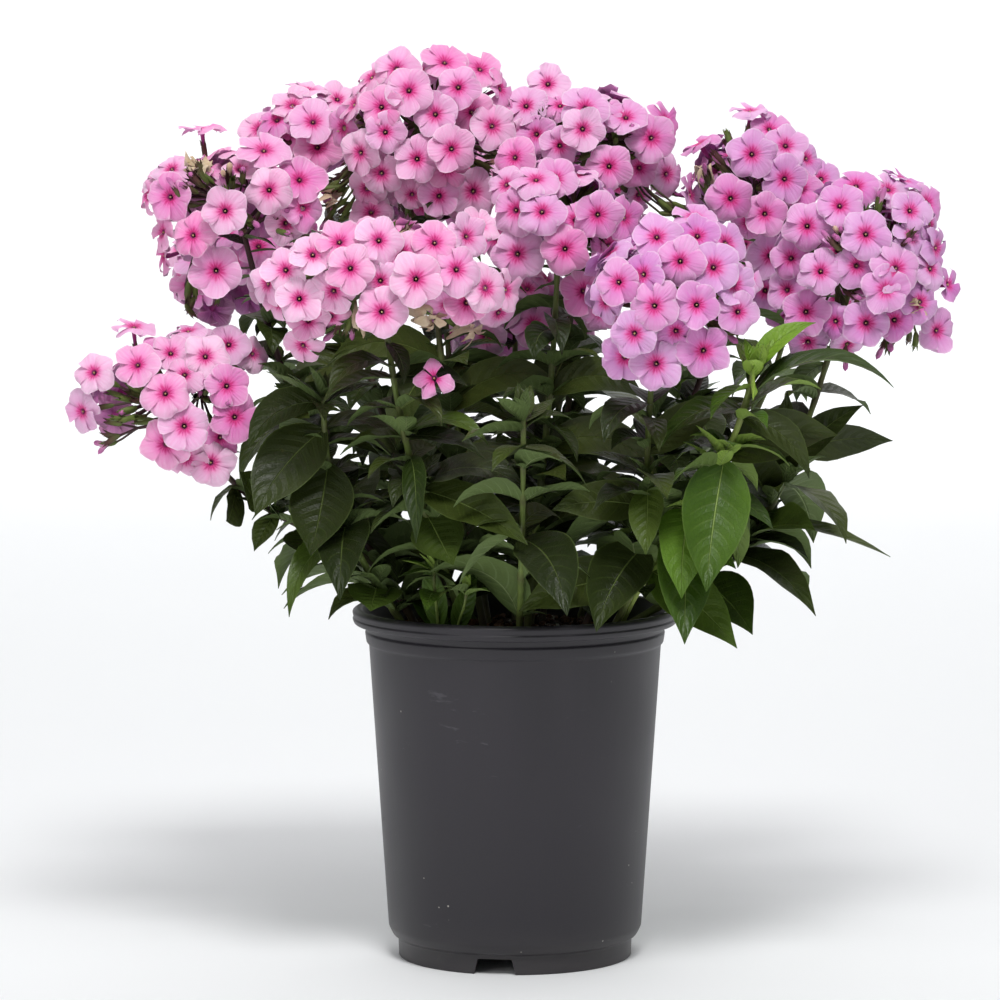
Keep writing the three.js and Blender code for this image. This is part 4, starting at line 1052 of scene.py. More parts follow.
def rounded(profile, radius):
    """The profile with each corner turned in a small bow."""
    points = [vec(profile[0])]
    for before, corner, after in zip(profile, profile[1:], profile[2:]):
        before, corner, after = vec(before), vec(corner), vec(after)
        into, out = corner - before, after - corner
        reach = min(radius, 0.42 * np.linalg.norm(into), 0.42 * np.linalg.norm(out))
        start, end = corner - unit(into) * reach, corner + unit(out) * reach
        for t in (0, 0.33, 0.67, 1):
            points.append(lerp(lerp(start, corner, t), lerp(corner, end, t), t))
    points.append(vec(profile[-1]))
    return np.array(points)


def lathe(profile, sides):
    """A closed body from a profile that starts and ends on the axis."""
    turn = around(sides)
    points = triple(profile[:, :1] * np.cos(turn), profile[:, :1] * np.sin(turn), profile[:, 1:])
    return solid("lathe", points, ring_faces(len(profile), sides), weld=True)


def prism(outline, low, high, out, side, up):
    """A body between two copies of an outline, which stand at low and high along out."""
    count = len(outline)
    points = [out * end + side * x + up * y for end in (low, high) for x, y in outline]
    faces = [tuple(range(count))[::-1], tuple(range(count, 2 * count))]
    for i in range(count):
        j = (i + 1) % count
        faces.append((i, j, count + j, count + i))
    return points, faces


def pot_cutters():
    """The notches in the foot ring and the drain holes in the floor, as one mesh."""
    wide, mid, narrow = NOTCH_WIDTH / 2 + 0.3, NOTCH_WIDTH / 2 - 1.7, NOTCH_WIDTH / 2 - 2.5
    notch = [(-wide, -1), (wide, -1), (mid, NOTCH_HEIGHT - 0.6), (narrow, NOTCH_HEIGHT),
             (-narrow, NOTCH_HEIGHT), (-mid, NOTCH_HEIGHT - 0.6)]
    hole = [(DRAIN_RADIUS * math.cos(a), DRAIN_RADIUS * math.sin(a)) for a in around(HOLE_SIDES)]
    points, faces = [], []

    def gather(body):
        start = len(points)
        points.extend(body[0])
        faces.extend(tuple(start + i for i in face) for face in body[1])

    for i in range(NOTCH_COUNT):
        turn = math.radians(NOTCH_ANGLE + 360 * i / NOTCH_COUNT)
        out = vec([math.cos(turn), math.sin(turn), 0])
        side = vec([-out[1], out[0], 0])
        gather(prism(notch, FOOT_RADIUS - 9.4, FOOT_RADIUS + 3, out, side, UP))
        turn = math.radians(DRAIN_ANGLE + 360 * i / NOTCH_COUNT)
        middle = DRAIN_CIRCLE * vec([math.cos(turn), math.sin(turn)])
        moved = [(middle[0] + x, middle[1] + y) for x, y in hole]
        gather(prism(moved, FOOT_HEIGHT - 3, FOOT_HEIGHT + 5, UP, vec([1, 0, 0]), vec([0, 1, 0])))
    return solid("cutters", points, faces)


def make_pot():
    low, high = POT_HEIGHT - LIP_DEPTH, POT_HEIGHT
    floor, inside_foot = FOOT_HEIGHT + FLOOR_THICKNESS, FOOT_RADIUS - FOOT_WIDTH
    profile = [
        (0, FOOT_HEIGHT),
        (inside_foot, FOOT_HEIGHT),
        (inside_foot, 0),
        (FOOT_RADIUS, 0),
        (FOOT_RADIUS, 2.2),
        (FOOT_RADIUS + 0.3, FOOT_HEIGHT - 1.2),
        (WALL_BOTTOM_RADIUS - 2.2, FOOT_HEIGHT),
        (WALL_BOTTOM_RADIUS, FOOT_HEIGHT + 4.5),
        (WALL_TOP_RADIUS, low - 10.6),
        (WALL_TOP_RADIUS + 1.3, low - 9.4),
        (WALL_TOP_RADIUS + 2.0, low - 4.4),
        (WALL_TOP_RADIUS + 1.2, low - 3.4),
        (WALL_TOP_RADIUS + 1.9, low - 0.2),
        (LIP_RADIUS - 1.0, low),
        (LIP_RADIUS - 0.2, low + 2.6),
        (LIP_RADIUS - 0.7, low + 3.4),
        (LIP_RADIUS, high - 1.6),
        (LIP_RADIUS - 2.2, high),
        (LIP_RADIUS - 5, high - 0.5),
        (WALL_TOP_RADIUS - WALL + 1.6, low - 4.0),
        (WALL_TOP_RADIUS - WALL, low - 9),
        (WALL_BOTTOM_RADIUS - WALL, floor),
        (0, floor),
    ]
    body = put("pot_body", lathe(rounded(profile, CORNER_BOW), POT_SIDES))
    cutter = put("pot_cutter", pot_cutters())
    cut = body.modifiers.new("cut", "BOOLEAN")
    cut.operation, cut.solver, cut.object = "DIFFERENCE", "EXACT", cutter
    shaped = body.evaluated_get(bpy.context.evaluated_depsgraph_get())
    mesh = bpy.data.meshes.new_from_object(shaped)
    for item in (body, cutter):
        bpy.data.objects.remove(item)
    mesh.shade_smooth()
    mesh.set_sharp_from_angle(angle=SHARP_ANGLE)
    mesh.materials.clear()
    show("pot_shell", mesh, [pot_material()], "pot")


# ---- Potting mix ----

MIX_GAP = 0.3
MIX_RINGS, MIX_SIDES = 56, 128
MIX_LEVELS = (110.0, 60.0)
CRUMB_REACH = 68

# Waves on the mix: how tight, in radians a millimetre, and how deep, in millimetres.
WAVES = ((0.35, 0.7), (0.8, 0.5), (1.7, 0.35))
WAVES_OF_EACH = 5

# Crumbs on the mix: how many, their smallest and largest size, how flat, and their material.
CRUMBS = [
    (260, 2.0, 5.0, 0.3, ("mix_bark", "#2c1a10", "#7a5334", 0.9)),
    (190, 1.0, 2.4, 0.7, ("mix_peat", "#0f0b08", "#36271b", 0.95)),
    (46, 0.9, 1.9, 0.8, ("mix_perlite", "#a9a59b", "#e4e1d8", 0.9)),
]


def soil_height(x, y):
    wave = np.sin(0.11 * x + 0.7) * np.cos(0.13 * y) + 0.6 * np.sin(0.21 * x - 0.17 * y)
    return SOIL_TOP + SOIL_RELIEF * wave


def wall_inside(z):
    low, high = FOOT_HEIGHT + FLOOR_THICKNESS, POT_HEIGHT - LIP_DEPTH - 9
    share = np.clip((z - low) / (high - low), 0, 1)
    return lerp(WALL_BOTTOM_RADIUS, WALL_TOP_RADIUS, share) - WALL


def lump():
    """The twelve corners and twenty sides of a round lump."""
    golden = (1 + 5**0.5) / 2
    corners = [(0, a, b * golden) for a in (-1, 1) for b in (-1, 1)]
    corners = unit([p for x, y, z in corners for p in ((x, y, z), (z, x, y), (y, z, x))])
    work = bmesh.new()
    for corner in corners:
        work.verts.new(corner)
    bmesh.ops.convex_hull(work, input=work.verts)
    work.verts.index_update()
    sides = [[v.index for v in face.verts] for face in work.faces]
    corners = np.array([v.co for v in work.verts])
    work.free()
    return corners, sides


def crumbs(rng, count, low, high, flat):
    """Small angular lumps that lie on the mix, as points and triangles."""
    corners, sides = lump()
    points, faces = [], []
    for i in range(count):
        grown = rng.uniform(low, high)
        size = vec([rng.uniform(0.8, 1.5), rng.uniform(0.5, 0.9), rng.uniform(flat, 1.6 * flat)])
        size = grown * size
        shape = corners * rng.uniform(0.72, 1.22, (len(corners), 1)) * size
        spin, tip = rng.uniform(0, 2 * math.pi), rng.uniform(-0.5, 0.5)
        c, s = math.cos(spin), math.sin(spin)
        turn = np.array([[c, -s, 0], [s, c, 0], [0, 0, 1]])
        c, s = math.cos(tip), math.sin(tip)
        turn = turn @ np.array([[c, 0, s], [0, 1, 0], [-s, 0, c]])
        radius, angle = CRUMB_REACH * math.sqrt(rng.uniform(0, 1)), rng.uniform(0, 2 * math.pi)
        x, y = radius * math.cos(angle), radius * math.sin(angle)
        z = soil_height(x, y) + 0.3 * size[2] + rng.uniform(0, 1.2)
        points.append(shape @ turn.T + vec([x, y, z]))
        faces += [[i * len(corners) + k for k in side] for side in sides]
    return np.concatenate(points), faces


def make_mix():
    rng = np.random.default_rng(11)
    sides = MIX_SIDES
    floor = FOOT_HEIGHT + FLOOR_THICKNESS + MIX_GAP
    edge = wall_inside(SOIL_TOP) - MIX_GAP
    radius = edge * np.linspace(0, 1, MIX_RINGS + 1)[1:] ** 0.8
    turn = around(sides)
    x, y = radius[:, None] * np.cos(turn), radius[:, None] * np.sin(turn)
    z = soil_height(x, y)
    for scale, depth in WAVES:
        for _ in range(WAVES_OF_EACH):
            way, shift = rng.uniform(0, 2 * math.pi), rng.uniform(0, 2 * math.pi)
            pitch = scale * rng.uniform(0.7, 1.3)
            z += depth * 0.5 * np.sin(pitch * (x * math.cos(way) + y * math.sin(way)) + shift)
    z += rng.normal(0, 0.3, z.shape)
    points = [np.stack([x, y, z], -1).reshape(-1, 3)]
    for height in (*MIX_LEVELS, floor):
        reach = wall_inside(height) - MIX_GAP
        points.append(triple(reach * np.cos(turn), reach * np.sin(turn), height))
    points.append(vec([[0, 0, soil_height(0, 0)], [0, 0, floor]]))
    points = np.concatenate(points)
    count = MIX_RINGS + len(MIX_LEVELS) + 1
    faces = [(a, d, c, b) for a, b, c, d in ring_faces(count, sides)]
    top, bottom, last = count * sides, count * sides + 1, (count - 1) * sides
    for k in range(sides):
        j = (k + 1) % sides
        faces += [(top, k, j), (bottom, last + j, last + k)]
    slots = [0] * len(faces)
    looks = [crumb_material("mix_crumb", "#140f0b", "#4a3626", 0.95)]
    for slot, (*shape, look) in enumerate(CRUMBS, 1):
        more, sides_of = crumbs(rng, *shape)
        faces += [[len(points) + i for i in face] for face in sides_of]
        slots += [slot] * len(sides_of)
        points = np.concatenate([points, more])
        looks.append(crumb_material(*look))
    mesh = plain_mesh("mix", points, faces)
    mesh.polygons.foreach_set("material_index", slots)
    mesh.polygons.foreach_set("use_smooth", [slot == 0 for slot in slots])
    mesh.update()
    show("mix_body", mesh, looks, "potting_mix")


# ---- Leafy stems ----

# The places of a stem's or a head's materials on its mesh.
LEAF_SLOT, STEM_SLOT, CALYX_SLOT = 0, 1, 2

# How long a leaf is at least, and where its blade then has its rows and its columns.
BLADES = [
    (52, vec([0, 0.02, 0.05, 0.1, 0.16, 0.23, 0.31, 0.39, 0.47, 0.55, 0.63, 0.71, 0.78, 0.85,
              0.91, 0.96, 1]), vec([-1, -0.82, -0.6, -0.35, -0.12, 0, 0.12, 0.35, 0.6, 0.82, 1])),
    (30, vec([0, 0.03, 0.09, 0.18, 0.29, 0.41, 0.53, 0.65, 0.77, 0.87, 0.95, 1]),
     vec([-1, -0.7, -0.35, 0, 0.35, 0.7, 1])),
    (0, vec([0, 0.06, 0.2, 0.38, 0.56, 0.74, 0.9, 1]), vec([-1, -0.5, 0, 0.5, 1])),
]

# How far a stem swells at a joint, over what length, and how many steps it has.
KNOT_SWELL = 0.22
KNOT_LENGTH = 3.2
FINE_STEPS = 48

# Some leaves have a tuft of small ones in their corner: how many have, how many are in it, and
# the share of the stem's height below which it stands.
SPROUT_CHANCE = 0.6
SPROUT_LEAVES = 2
SPROUT_BELOW = 0.85

# How much fresher a green the leaves at a shoot's tip are than its others. Where this lifts freshness
# above 1, the paler green is partly painted light on tips that lie in the heads' shade.
TIP_FRESHER_AND_LIT = 1.8
TIP_LEAVES = 8


def add_leaf(soup, leaf, rng, fresh, shift=0.0):
    """A thin blade that is folded along its midrib and waved along its margins."""
    shares, across = next(blade[1:] for blade in BLADES if leaf["length"] > blade[0])
    place, side, normal, _ = leaf_chain(leaf)
    at = shares * LEAF_STEPS
    low = np.minimum(at.astype(int), LEAF_STEPS - 1)
    part = (at - low)[:, None]
    place, side, normal = (lerp(v[low], v[low + 1], part) for v in (place, side, normal))
    place = place + shift * (1 - shares[:, None]) ** 2
    width = leaf["width"] * leaf_outline(shares)
    width *= 1.06 - 0.36 * np.clip((shares - 0.74) / 0.26, 0, 1)
    neck = min(1.1, 0.12 * leaf["width"] + 0.3)
    width = np.maximum(width, neck * np.clip(1 - shares * 1.02, 0.12, 1))[:, None]
    t, a = shares[:, None], across[None]
    fold = rng.uniform(0.12, 0.42)
    rise = width * (fold * np.abs(a) ** 1.3 - 0.15)
    for way in (-1, 1):
        beat, phase, swing = rng.uniform(1.2, 2.6), rng.uniform(0, 6.3), rng.uniform(0.04, 0.13)
        wave = swing * width * np.sin(2 * math.pi * beat * t + phase) * np.sin(math.pi * t)
        rise = rise + wave * np.where(np.sign(a) == way, a**2, 0)
    curl = rng.uniform(-0.25, 0.3)
    rise = rise + curl * width * (t**2) * (a**2)
    flat = place[:, None] + side[:, None] * (a[..., None] * width[..., None])
    seed, tone = rng.uniform(0, 1), rng.uniform(0, 1)
    look = triple(a, t, tone)
    size = (2 * leaf["width"], leaf["length"])
    rib = 0.7 * (1 - t) * np.exp(-((a / 0.1) ** 2)) * min(1, leaf["width"] / 8)
    thick = 0.18 * (1 - np.abs(a) ** 6)
    top = flat + normal[:, None] * (rise + thick)[..., None]
    under = flat + normal[:, None] * (rise - thick - rib)[..., None]
    soup.grid(top, look, (0, fresh, seed), LEAF_SLOT, size)
    soup.grid(under, look, (1, fresh, seed), LEAF_SLOT, size, flip=True)


def add_sprout(soup, rng, base, out, size, fresh):
    """A tuft of small leaves in the corner between a leaf and its stem."""
    azimuth = math.atan2(out[1], out[0])
    for i in range(SPROUT_LEAVES):
        turn = azimuth + (i - (SPROUT_LEAVES - 1) / 2) * 1.5 + rng.uniform(-0.4, 0.4)
        leaf = loose_leaf(rng, base, turn, size, bend=(-0.3, 0.3), rise=(0.5, 1.2), droop=(-0.6, 0.3),
                          roll=(-0.4, 0.4), slender=(0.17, 0.25), grown=(0.75, 1.15))
        points = leaf_samples(leaf)
        if not inside_pot(points).any() and not inside_heads(points, -4).any():
            add_leaf(soup, leaf, rng, fresh)


def add_twigs(soup, path, radii, sides, share, purple):
    """Bare rods that look as a stem does at a share of its height."""
    soup.tube(path, radii, sides, (share, 0, purple), (0, 0, 0), STEM_SLOT)


def add_stem(soup, stem, rng):
    """A round stem that thickens at its joints. It starts in the mix."""
    curve = stem["curve"]
    shares = np.linspace(0, 1, FINE_STEPS + 1)
    path = bezier(curve, shares)
    radii = 0.88 * stem["size"] * lerp(STEM_RADIUS, STEM_TIP_RADIUS, (1 + 5 * shares) / 6)
    length = curve_length(curve)
    knot = np.zeros_like(shares)
    for joint in sorted({round(leaf["share"], 3) for leaf in stem["leaves"]}):
        knot = np.maximum(knot, np.exp(-(((shares - joint) * length / KNOT_LENGTH) ** 2)))
    radii = radii * (1 + KNOT_SWELL * knot)
    foot = path[0] - UP * np.array([[9.0], [4.5]])
    path = np.concatenate([foot, path])
    radii = np.concatenate([[radii[0] * 1.15, radii[0] * 1.05], radii])
    height, knot = (np.concatenate([[0, 0], v]) for v in (shares, knot))
    look = triple(height, 0, stem["purple"])
    soup.tube(path, radii, 10, look, triple(knot, stem["fresh"], rng.uniform(0, 1)), STEM_SLOT)


def add_shoot_tip(soup, stem, rng):
    """Young leaves that stand folded round the tip of a shoot without flowers."""
    tip, size = stem["curve"][3], stem["size"]
    first = rng.uniform(0, 6.3)
    for i in range(TIP_LEAVES):
        length = size * (34 - 3 * i) * rng.uniform(0.85, 1.1)
        base, azimuth = tip - UP * (3.5 - 0.5 * i) * size, first + i * 1.75 + (i % 2) * 1.4
        leaf = loose_leaf(rng, base, azimuth, length, bend=(-0.2, 0.2), rise=0.55 + 0.13 * i,
                          droop=0.1 + 0.17 * i, roll=(-0.3, 0.3), slender=(0.15, 0.21))
        add_leaf(soup, leaf, rng, stem["fresh"] * TIP_FRESHER_AND_LIT)


def add_side_twig(soup, stem):
    """The low twig that the single floret stands on."""
    start, end = bezier(stem["curve"], TWIG_SHARE), side_floret_root()
    bow = np.array([start, lerp(start, end, 0.4) + UP * 2, lerp(start, end, 0.8), end])
    add_twigs(soup, bezier(bow, np.linspace(0, 1, 9)), np.linspace(1.1, 0.9, 9), 8, 0.6, 0.3)


def make_stems():
    for owner, stem in enumerate(stems):
        rng = np.random.default_rng(500 + owner)
        soup = Soup()
        add_stem(soup, stem, rng)
        for leaf in stem["leaves"]:
            share, azimuth = leaf["share"], leaf["azimuth"]
            fresh = leaf.get("fresh", stem["fresh"] + rng.uniform(-0.15, 0.15))
            shift = bezier(stem["curve"], share) - stem_point(stem["curve"], share)
            add_leaf(soup, leaf, rng, fresh, shift)
            if share < SPROUT_BELOW and rng.uniform(0, 1) < SPROUT_CHANCE:
                out = vec([math.cos(azimuth), math.sin(azimuth), 0])
                base = leaf["base"] + shift + out * 1.5
                add_sprout(soup, rng, base, out, rng.uniform(14, 30), stem["fresh"] + 0.15)
        young = owner - len(SHOOTS)
        if young >= 0:
            add_shoot_tip(soup, stem, rng)
        if owner == SIDE_FLORET_SHOOT:
            add_side_twig(soup, stem)
        node = f"young_shoot_{young + 1:02d}" if young >= 0 else f"leafy_stem_{owner + 1:02d}"
        show(node + "_fine", soup.mesh(node), [LEAF, STEM], node)


# ---- Flower heads ----

PETAL_ROWS, PETAL_COLUMNS = 7, 6
PETAL_CELL = (12.0, 12.0)
THROAT = 1.2
FIVE_TURNS = around(5)
SIDE_TURNS = np.radians([60, 187, 272, 335])

# Along a floret's tube from its mouth, along its anthers and along a bud.
TUBE_RADII = vec([1.75, 1.15, 1.0, 1.0, 0.95, 0.9])
TUBE_START = 1.3
ANTHER_RADII = vec([0.35, 0.5, 0.45, 0.1])
ANTHER_DEPTHS = (1.9, 1.5, 1.05, 0.8)
BUD_SHAPE = ([0, 0.3, 0.62, 0.8, 0.93, 1], [0.8, 0.9, 1.45, 1.5, 0.9, 0.1])
CUP_SHAPE = ([0, 0.35, 0.8, 1], [1.45, 1.6, 1.35, 0.7])

# How many degrees from a head's axis its branches, its deeper florets and its lowest reach.
BRANCH_REACH = 92
INNER_REACH = 95
HUNG_REACH = 118
HUNG_FLORETS = 4

SPACING_ROUNDS = 40
GAP_TRIES = 260
BUD_CHANCE = 0.4
DRIED_CHANCE = 0.12
BRACTS = 7


def frame_of(face):
    """Two directions square to each face."""
    reference = np.eye(3)[np.abs(face).argmin(-1)]
    u = unit(np.cross(reference, face))
    return u, np.cross(face, u)


def add_corollas(soup, rng, place, face, roll, radius, lilac, turns=FIVE_TURNS, broad=0.525,
                 round_off=1.0, crumple=1.0, kinds=(FRONT, BACK)):
    """Broad overlapping petals to each place, seen as a pale front and a duller back."""
    count, petals = len(place), len(turns)
    u, v = frame_of(face)

    def vary(low, high):
        return rng.uniform(low, high, (count, petals, 1, 1))

    def each(low, high):
        return rng.uniform(low, high, (count, 1, 1, 1))

    size = radius[:, None, None, None]
    t = np.linspace(0, 1, PETAL_ROWS)[:, None]
    s = np.linspace(-1, 1, PETAL_COLUMNS)[None]
    length = (size - THROAT) * vary(0.92, 1.05)
    half = broad * size * vary(0.90, 1.08)
    x = THROAT + length * t * (1 - vary(0.30, 0.47) * round_off * t**2 * np.abs(s) ** 2.2)
    x = x + vary(-0.9, 0.8) * t**6 * np.exp(-(((s - vary(-0.3, 0.3)) / 0.32) ** 2))
    y = half * (0.15 + 0.85 * np.sin(math.pi / 2 * np.minimum(1, t / 0.72)) ** 1.15) * s
    bend = (each(-2.0, 1.2) + vary(-1.9, 1.5)) * crumple
    z = -1.5 * np.exp(-(x - THROAT) / 1.5) + bend * t**2
    z = z + vary(0.8, 2.0) * s * smooth(t, 0.12, 0.55) - vary(0.2, 2.2) * s**2 * t
    z = z - vary(0.2, 0.8) * np.exp(-((s / 0.3) ** 2)) * smooth(t, 0.1, 0.4)
    z = z + vary(0.4, 1.4) * crumple * np.sin(vary(0, 6.3) + vary(2.4, 5.0) * s) * t**2
    z = z - vary(0, 1.6) * t**7
    turn = roll[:, None, None, None] + turns[None, :, None, None] + vary(-0.08, 0.08)
    flat_x, flat_y = x * np.cos(turn) - y * np.sin(turn), x * np.sin(turn) + y * np.cos(turn)

    def placed(height):
        middle, right, up, out = (w[:, None, None, None, :] for w in (place, u, v, face))
        flat = middle + right * flat_x[..., None] + up * flat_y[..., None]
        return flat + out * height[..., None]

    radial = np.hypot(x, y) / size
    tone = np.clip(each(0.15, 0.85) + vary(-0.15, 0.15), 0, 1)
    edge = np.maximum(np.abs(s) ** 5 * smooth(t, 0.3, 0.6), t**9)
    look = triple(radial, s, edge)
    hue = np.clip(lilac + each(-0.25, 0.25), 0, 1)
    tone = np.broadcast_to(tone, radial.shape)
    thick = 0.3 * (1 - s**4) * (1 - t**5)
    soup.grid(placed(z), look, triple(kinds[0], hue, tone), 0, PETAL_CELL)
    soup.grid(placed(z - thick), look, triple(kinds[1], hue, tone), 0, PETAL_CELL, flip=True)


def add_throats(petals, tubes, place, face, sides, lilac):
    """Each floret's tube, and the anthers in its mouth."""
    step = np.linspace(0, 1, len(TUBE_RADII))
    petals.tube(tubes, TUBE_RADII, sides, triple(step, 0, 0.5), (TUBE, lilac, 0.5))
    anthers = np.stack([place - face * depth for depth in ANTHER_DEPTHS], 1)
    petals.tube(anthers, ANTHER_RADII, 5, (0, 0, 0), (ANTHER, 0, 0))


def resample(paths, start, end, steps):
    """The stretch of each path between two lengths, in even steps."""
    stretches = np.linalg.norm(np.diff(paths, axis=1), axis=-1)
    length = np.concatenate([np.zeros((len(paths), 1)), np.cumsum(stretches, axis=1)], 1)
    result = np.zeros((len(paths), steps, 3))
    for i, path in enumerate(paths):
        at = np.linspace(start[i], end[i], steps)
        for k in range(3):
            result[i, :, k] = np.interp(at, length[i], path[:, k])
    return result


def add_calyces(soup, rng, paths, slot):
    """Cups with five awl-shaped teeth. Paths run from the mouth down to the base."""
    count, steps = paths.shape[:2]
    shape = np.interp(np.linspace(0, 1, steps), *CUP_SHAPE)
    radii = shape * rng.uniform(0.88, 1.08, (count, 1))
    tone = rng.uniform(0, 1, (count, 1))
    soup.tube(paths, radii, 8, triple(np.linspace(0.75, 0, steps), 0, tone), (0, 0, 0), slot)
    out = unit(paths[:, 0] - paths[:, 1])
    u, v = frame_of(out)
    angle = (FIVE_TURNS + rng.uniform(0, 6.3, (count, 1)))[..., None]
    way = u[:, None] * np.cos(angle) + v[:, None] * np.sin(angle)
    side = np.cross(out[:, None], way)
    base = paths[:, None, 0] + way * radii[:, None, :1]
    long = rng.uniform(2.2, 3.6, (count, 5, 1))
    tip = base + out[:, None] * long + way * rng.uniform(0.1, 0.9, (count, 5, 1))
    middle = lerp(base, tip, 0.5) - way * 0.1
    rows = []
    for point, wide in ((base, 0.85), (middle, 0.4), (tip, 0.04)):
        rows.append(np.stack([point - side * wide, point + side * wide], 2))
    points = np.stack(rows, 2)
    look = triple(vec([0.75, 0.9, 1.0])[:, None], 0, tone[..., None, None])
    soup.grid(points, np.broadcast_to(look, points.shape), (0, 0, 0), slot, (1.7, 3.2), flip=True)


def spaced(ways, half, axis, lowest, spacing):
    """Moves the ways out of a head's middle apart until their florets are evenly spaced."""
    for _ in range(SPACING_ROUNDS):
        place = ways * half
        apart = place[:, None] - place[None]
        distance = np.linalg.norm(apart, axis=-1) + np.eye(len(ways)) * 1e9
        push = np.clip(spacing - distance, 0, None) * 0.3 / distance
        place = place + (apart * push[..., None]).sum(1)
        ways = unit(place / half)
        below = np.clip(lowest - ways @ axis, 0, None)
        ways = unit(ways + axis * below[:, None])
    return ways


def dome(count, axis, lowest):
    """Ways out of a middle, in a spiral from the axis down."""
    u, v = frame_of(axis)
    i = np.arange(count)
    height = 1 - (1 - lowest) * (i + 0.5) / count
    ring = np.sqrt(1 - height**2)
    turn = math.pi * (3 - math.sqrt(5)) * i
    flat = (ring * np.cos(turn))[:, None] * u
    return height[:, None] * axis + flat + (ring * np.sin(turn))[:, None] * v


def level(degrees):
    """How far along a dome's axis, of 1, its points stand that lean so far from the axis."""
    return math.cos(math.radians(degrees))


def dome_count(half, lowest, spacing):
    """How many florets cover a dome, from the usual rule for an ellipsoid's area."""
    p = 1.6
    ab, ac, bc = half[0] * half[1], half[0] * half[2], half[1] * half[2]
    area = 4 * math.pi * ((ab**p + ac**p + bc**p) / 3) ** (1 / p)
    return round(area * (1 - lowest) / 2 / (0.87 * spacing**2))


class Head:
    """One flower head. Its random draws come in the order in which its parts are made."""

    def __init__(self, index, shoot):
        self.index, self.shoot = index, shoot
        self.rng = np.random.default_rng(900 + index)
        self.axis, self.middle, self.half = head_axis(shoot), vec(shoot["head"]), vec(shoot["half"])
        self.petals, self.green = Soup(), Soup()

    def make(self):
        self.add_branches()
        self.add_florets()
        self.add_withered()
        self.add_buds()
        self.add_bracts()
        number = f"{self.index + 1:02d}"
        node, florets, calyces = f"flower_head_{number}", f"florets_{number}", f"calyces_{number}"
        show(florets, self.petals.mesh(florets), [PETAL], node)
        show(calyces, self.green.mesh(calyces), [LEAF, STEM, CALYX], node)

    def seen(self, table, columns):
        """What was noted of this head in a table, one row each."""
        return vec(table.get(self.index, [])).reshape(-1, columns)

    def gaps_between(self, ways, lowest, count):
        """Ways that lie farthest from the florets there are."""
        tries = dome(GAP_TRIES, self.axis, lowest)
        found = []
        have = ways * self.half
        for _ in range(count):
            distance = np.linalg.norm((tries * self.half)[:, None] - have[None], axis=-1).min(1)
            distance = distance * self.rng.uniform(0.8, 1, len(tries))
            best = tries[distance.argmax()]
            found.append(best)
            have = np.concatenate([have, (best * self.half)[None]])
        return np.array(found)

    def add_branches(self):
        """The stalk, and short branches to the points where pedicels meet."""
        axis, middle, half, purple = self.axis, self.middle, self.half, self.shoot["purple"]
        foot, crown = head_foot(self.shoot), middle + axis * half[2] * 0.12
        bow = [foot - axis * 3, lerp(foot, crown, 0.35), lerp(foot, crown, 0.7), crown]
        self.stalk = bezier(np.array(bow), np.linspace(0, 1, 12))
        add_twigs(self.green, self.stalk, np.linspace(1.6, 1.1, 12), 8, 0.1, purple)
        self.count = dome_count(half, level(HEAD_REACH), FLORET_SPACING)
        clusters = max(5, round(self.count / 6))
        ways = dome(clusters, axis, level(BRANCH_REACH))
        self.joints = spaced(ways, half, axis, -0.05, half.mean() * 0.95)
        deep = self.rng.uniform(0.36, 0.50, (clusters, 1))
        self.joint_places = middle + self.joints * half * deep - axis * half[2] * 0.1
        for way, joint in zip(self.joints, self.joint_places):
            start = self.stalk[int(3 + 7 * (0.5 + 0.5 * way @ axis))]
            bow = [start, start + axis * 4 + way * 3, joint - way * 5 - axis * 2, joint]
            path = bezier(np.array(bow), np.linspace(0, 1, 7))
            add_twigs(self.green, path, np.linspace(1.15, 0.9, 7), 6, 0.3, 0.2 + 0.7 * purple)

    def dome_florets(self, placed):
        """Florets on the dome in lumps, one to a branch, with deeper ones behind their gaps.

        Where a head's front is listed, the dome only covers the back.
        """
        rng, axis, half, joints, count = self.rng, self.axis, self.half, self.joints, self.count
        lowest = level(HEAD_REACH)
        ways = spaced(dome(count, axis, lowest), half, axis, lowest, FLORET_SPACING * 1.05)
        ways = unit(ways + rng.normal(0, 0.05, ways.shape))
        nearest = np.argmax(ways @ joints.T, axis=1)
        ways = unit(ways + 0.16 * (joints[nearest] - ways))
        closeness = (ways * joints[nearest]).sum(1)
        out = 1.0 - 0.9 * (1 - closeness) + rng.normal(0, 0.035, count)
        out = np.where(rng.uniform(0, 1, count) < 0.08, out + rng.uniform(0.05, 0.10, count), out)
        inner = self.gaps_between(ways, level(INNER_REACH), max(4, count // 5))
        hung = self.gaps_between(ways, level(HUNG_REACH), HUNG_FLORETS)
        ways = np.concatenate([ways, inner, hung])
        deep, low = rng.uniform(0.70, 0.80, len(inner)), rng.uniform(0.84, 0.98, len(hung))
        out = np.concatenate([np.clip(out, 0.80, 1.10), deep, low])
        if len(placed):
            out = out * lerp(0.86, 1, smooth(ways[:, 1], 0.05, 0.5))
            out = out * lerp(1, 0.9, smooth(ways[:, 2], 0.1, 0.8))
        place = self.middle + ways * half * out[:, None]
        nearest = np.argmax(ways @ joints.T, axis=1)
        face = unit(ways / half) * 0.55 + unit(place - self.joint_places[nearest]) * 0.65
        face = unit(face + rng.normal(0, 0.17, face.shape) + UP * 0.16)
        keep = np.ones(len(place), bool)
        for other in SHOOTS:
            if other is not self.shoot:
                away = (place - vec(other["head"])) / (vec(other["half"]) * 0.86)
                keep &= (away**2).sum(1) > 1
        if len(placed):
            apart = np.linalg.norm(place[:, None] - placed[None], axis=-1).min(1)
            hidden = ways[:, 1] > lerp(0.08, -0.3, smooth(ways[:, 2], 0.3, 0.7))
            keep &= hidden & (apart > FLORET_SPACING * 0.7)
            keep &= ways @ axis > self.shoot.get("open", -0.25)
        return place[keep], face[keep]

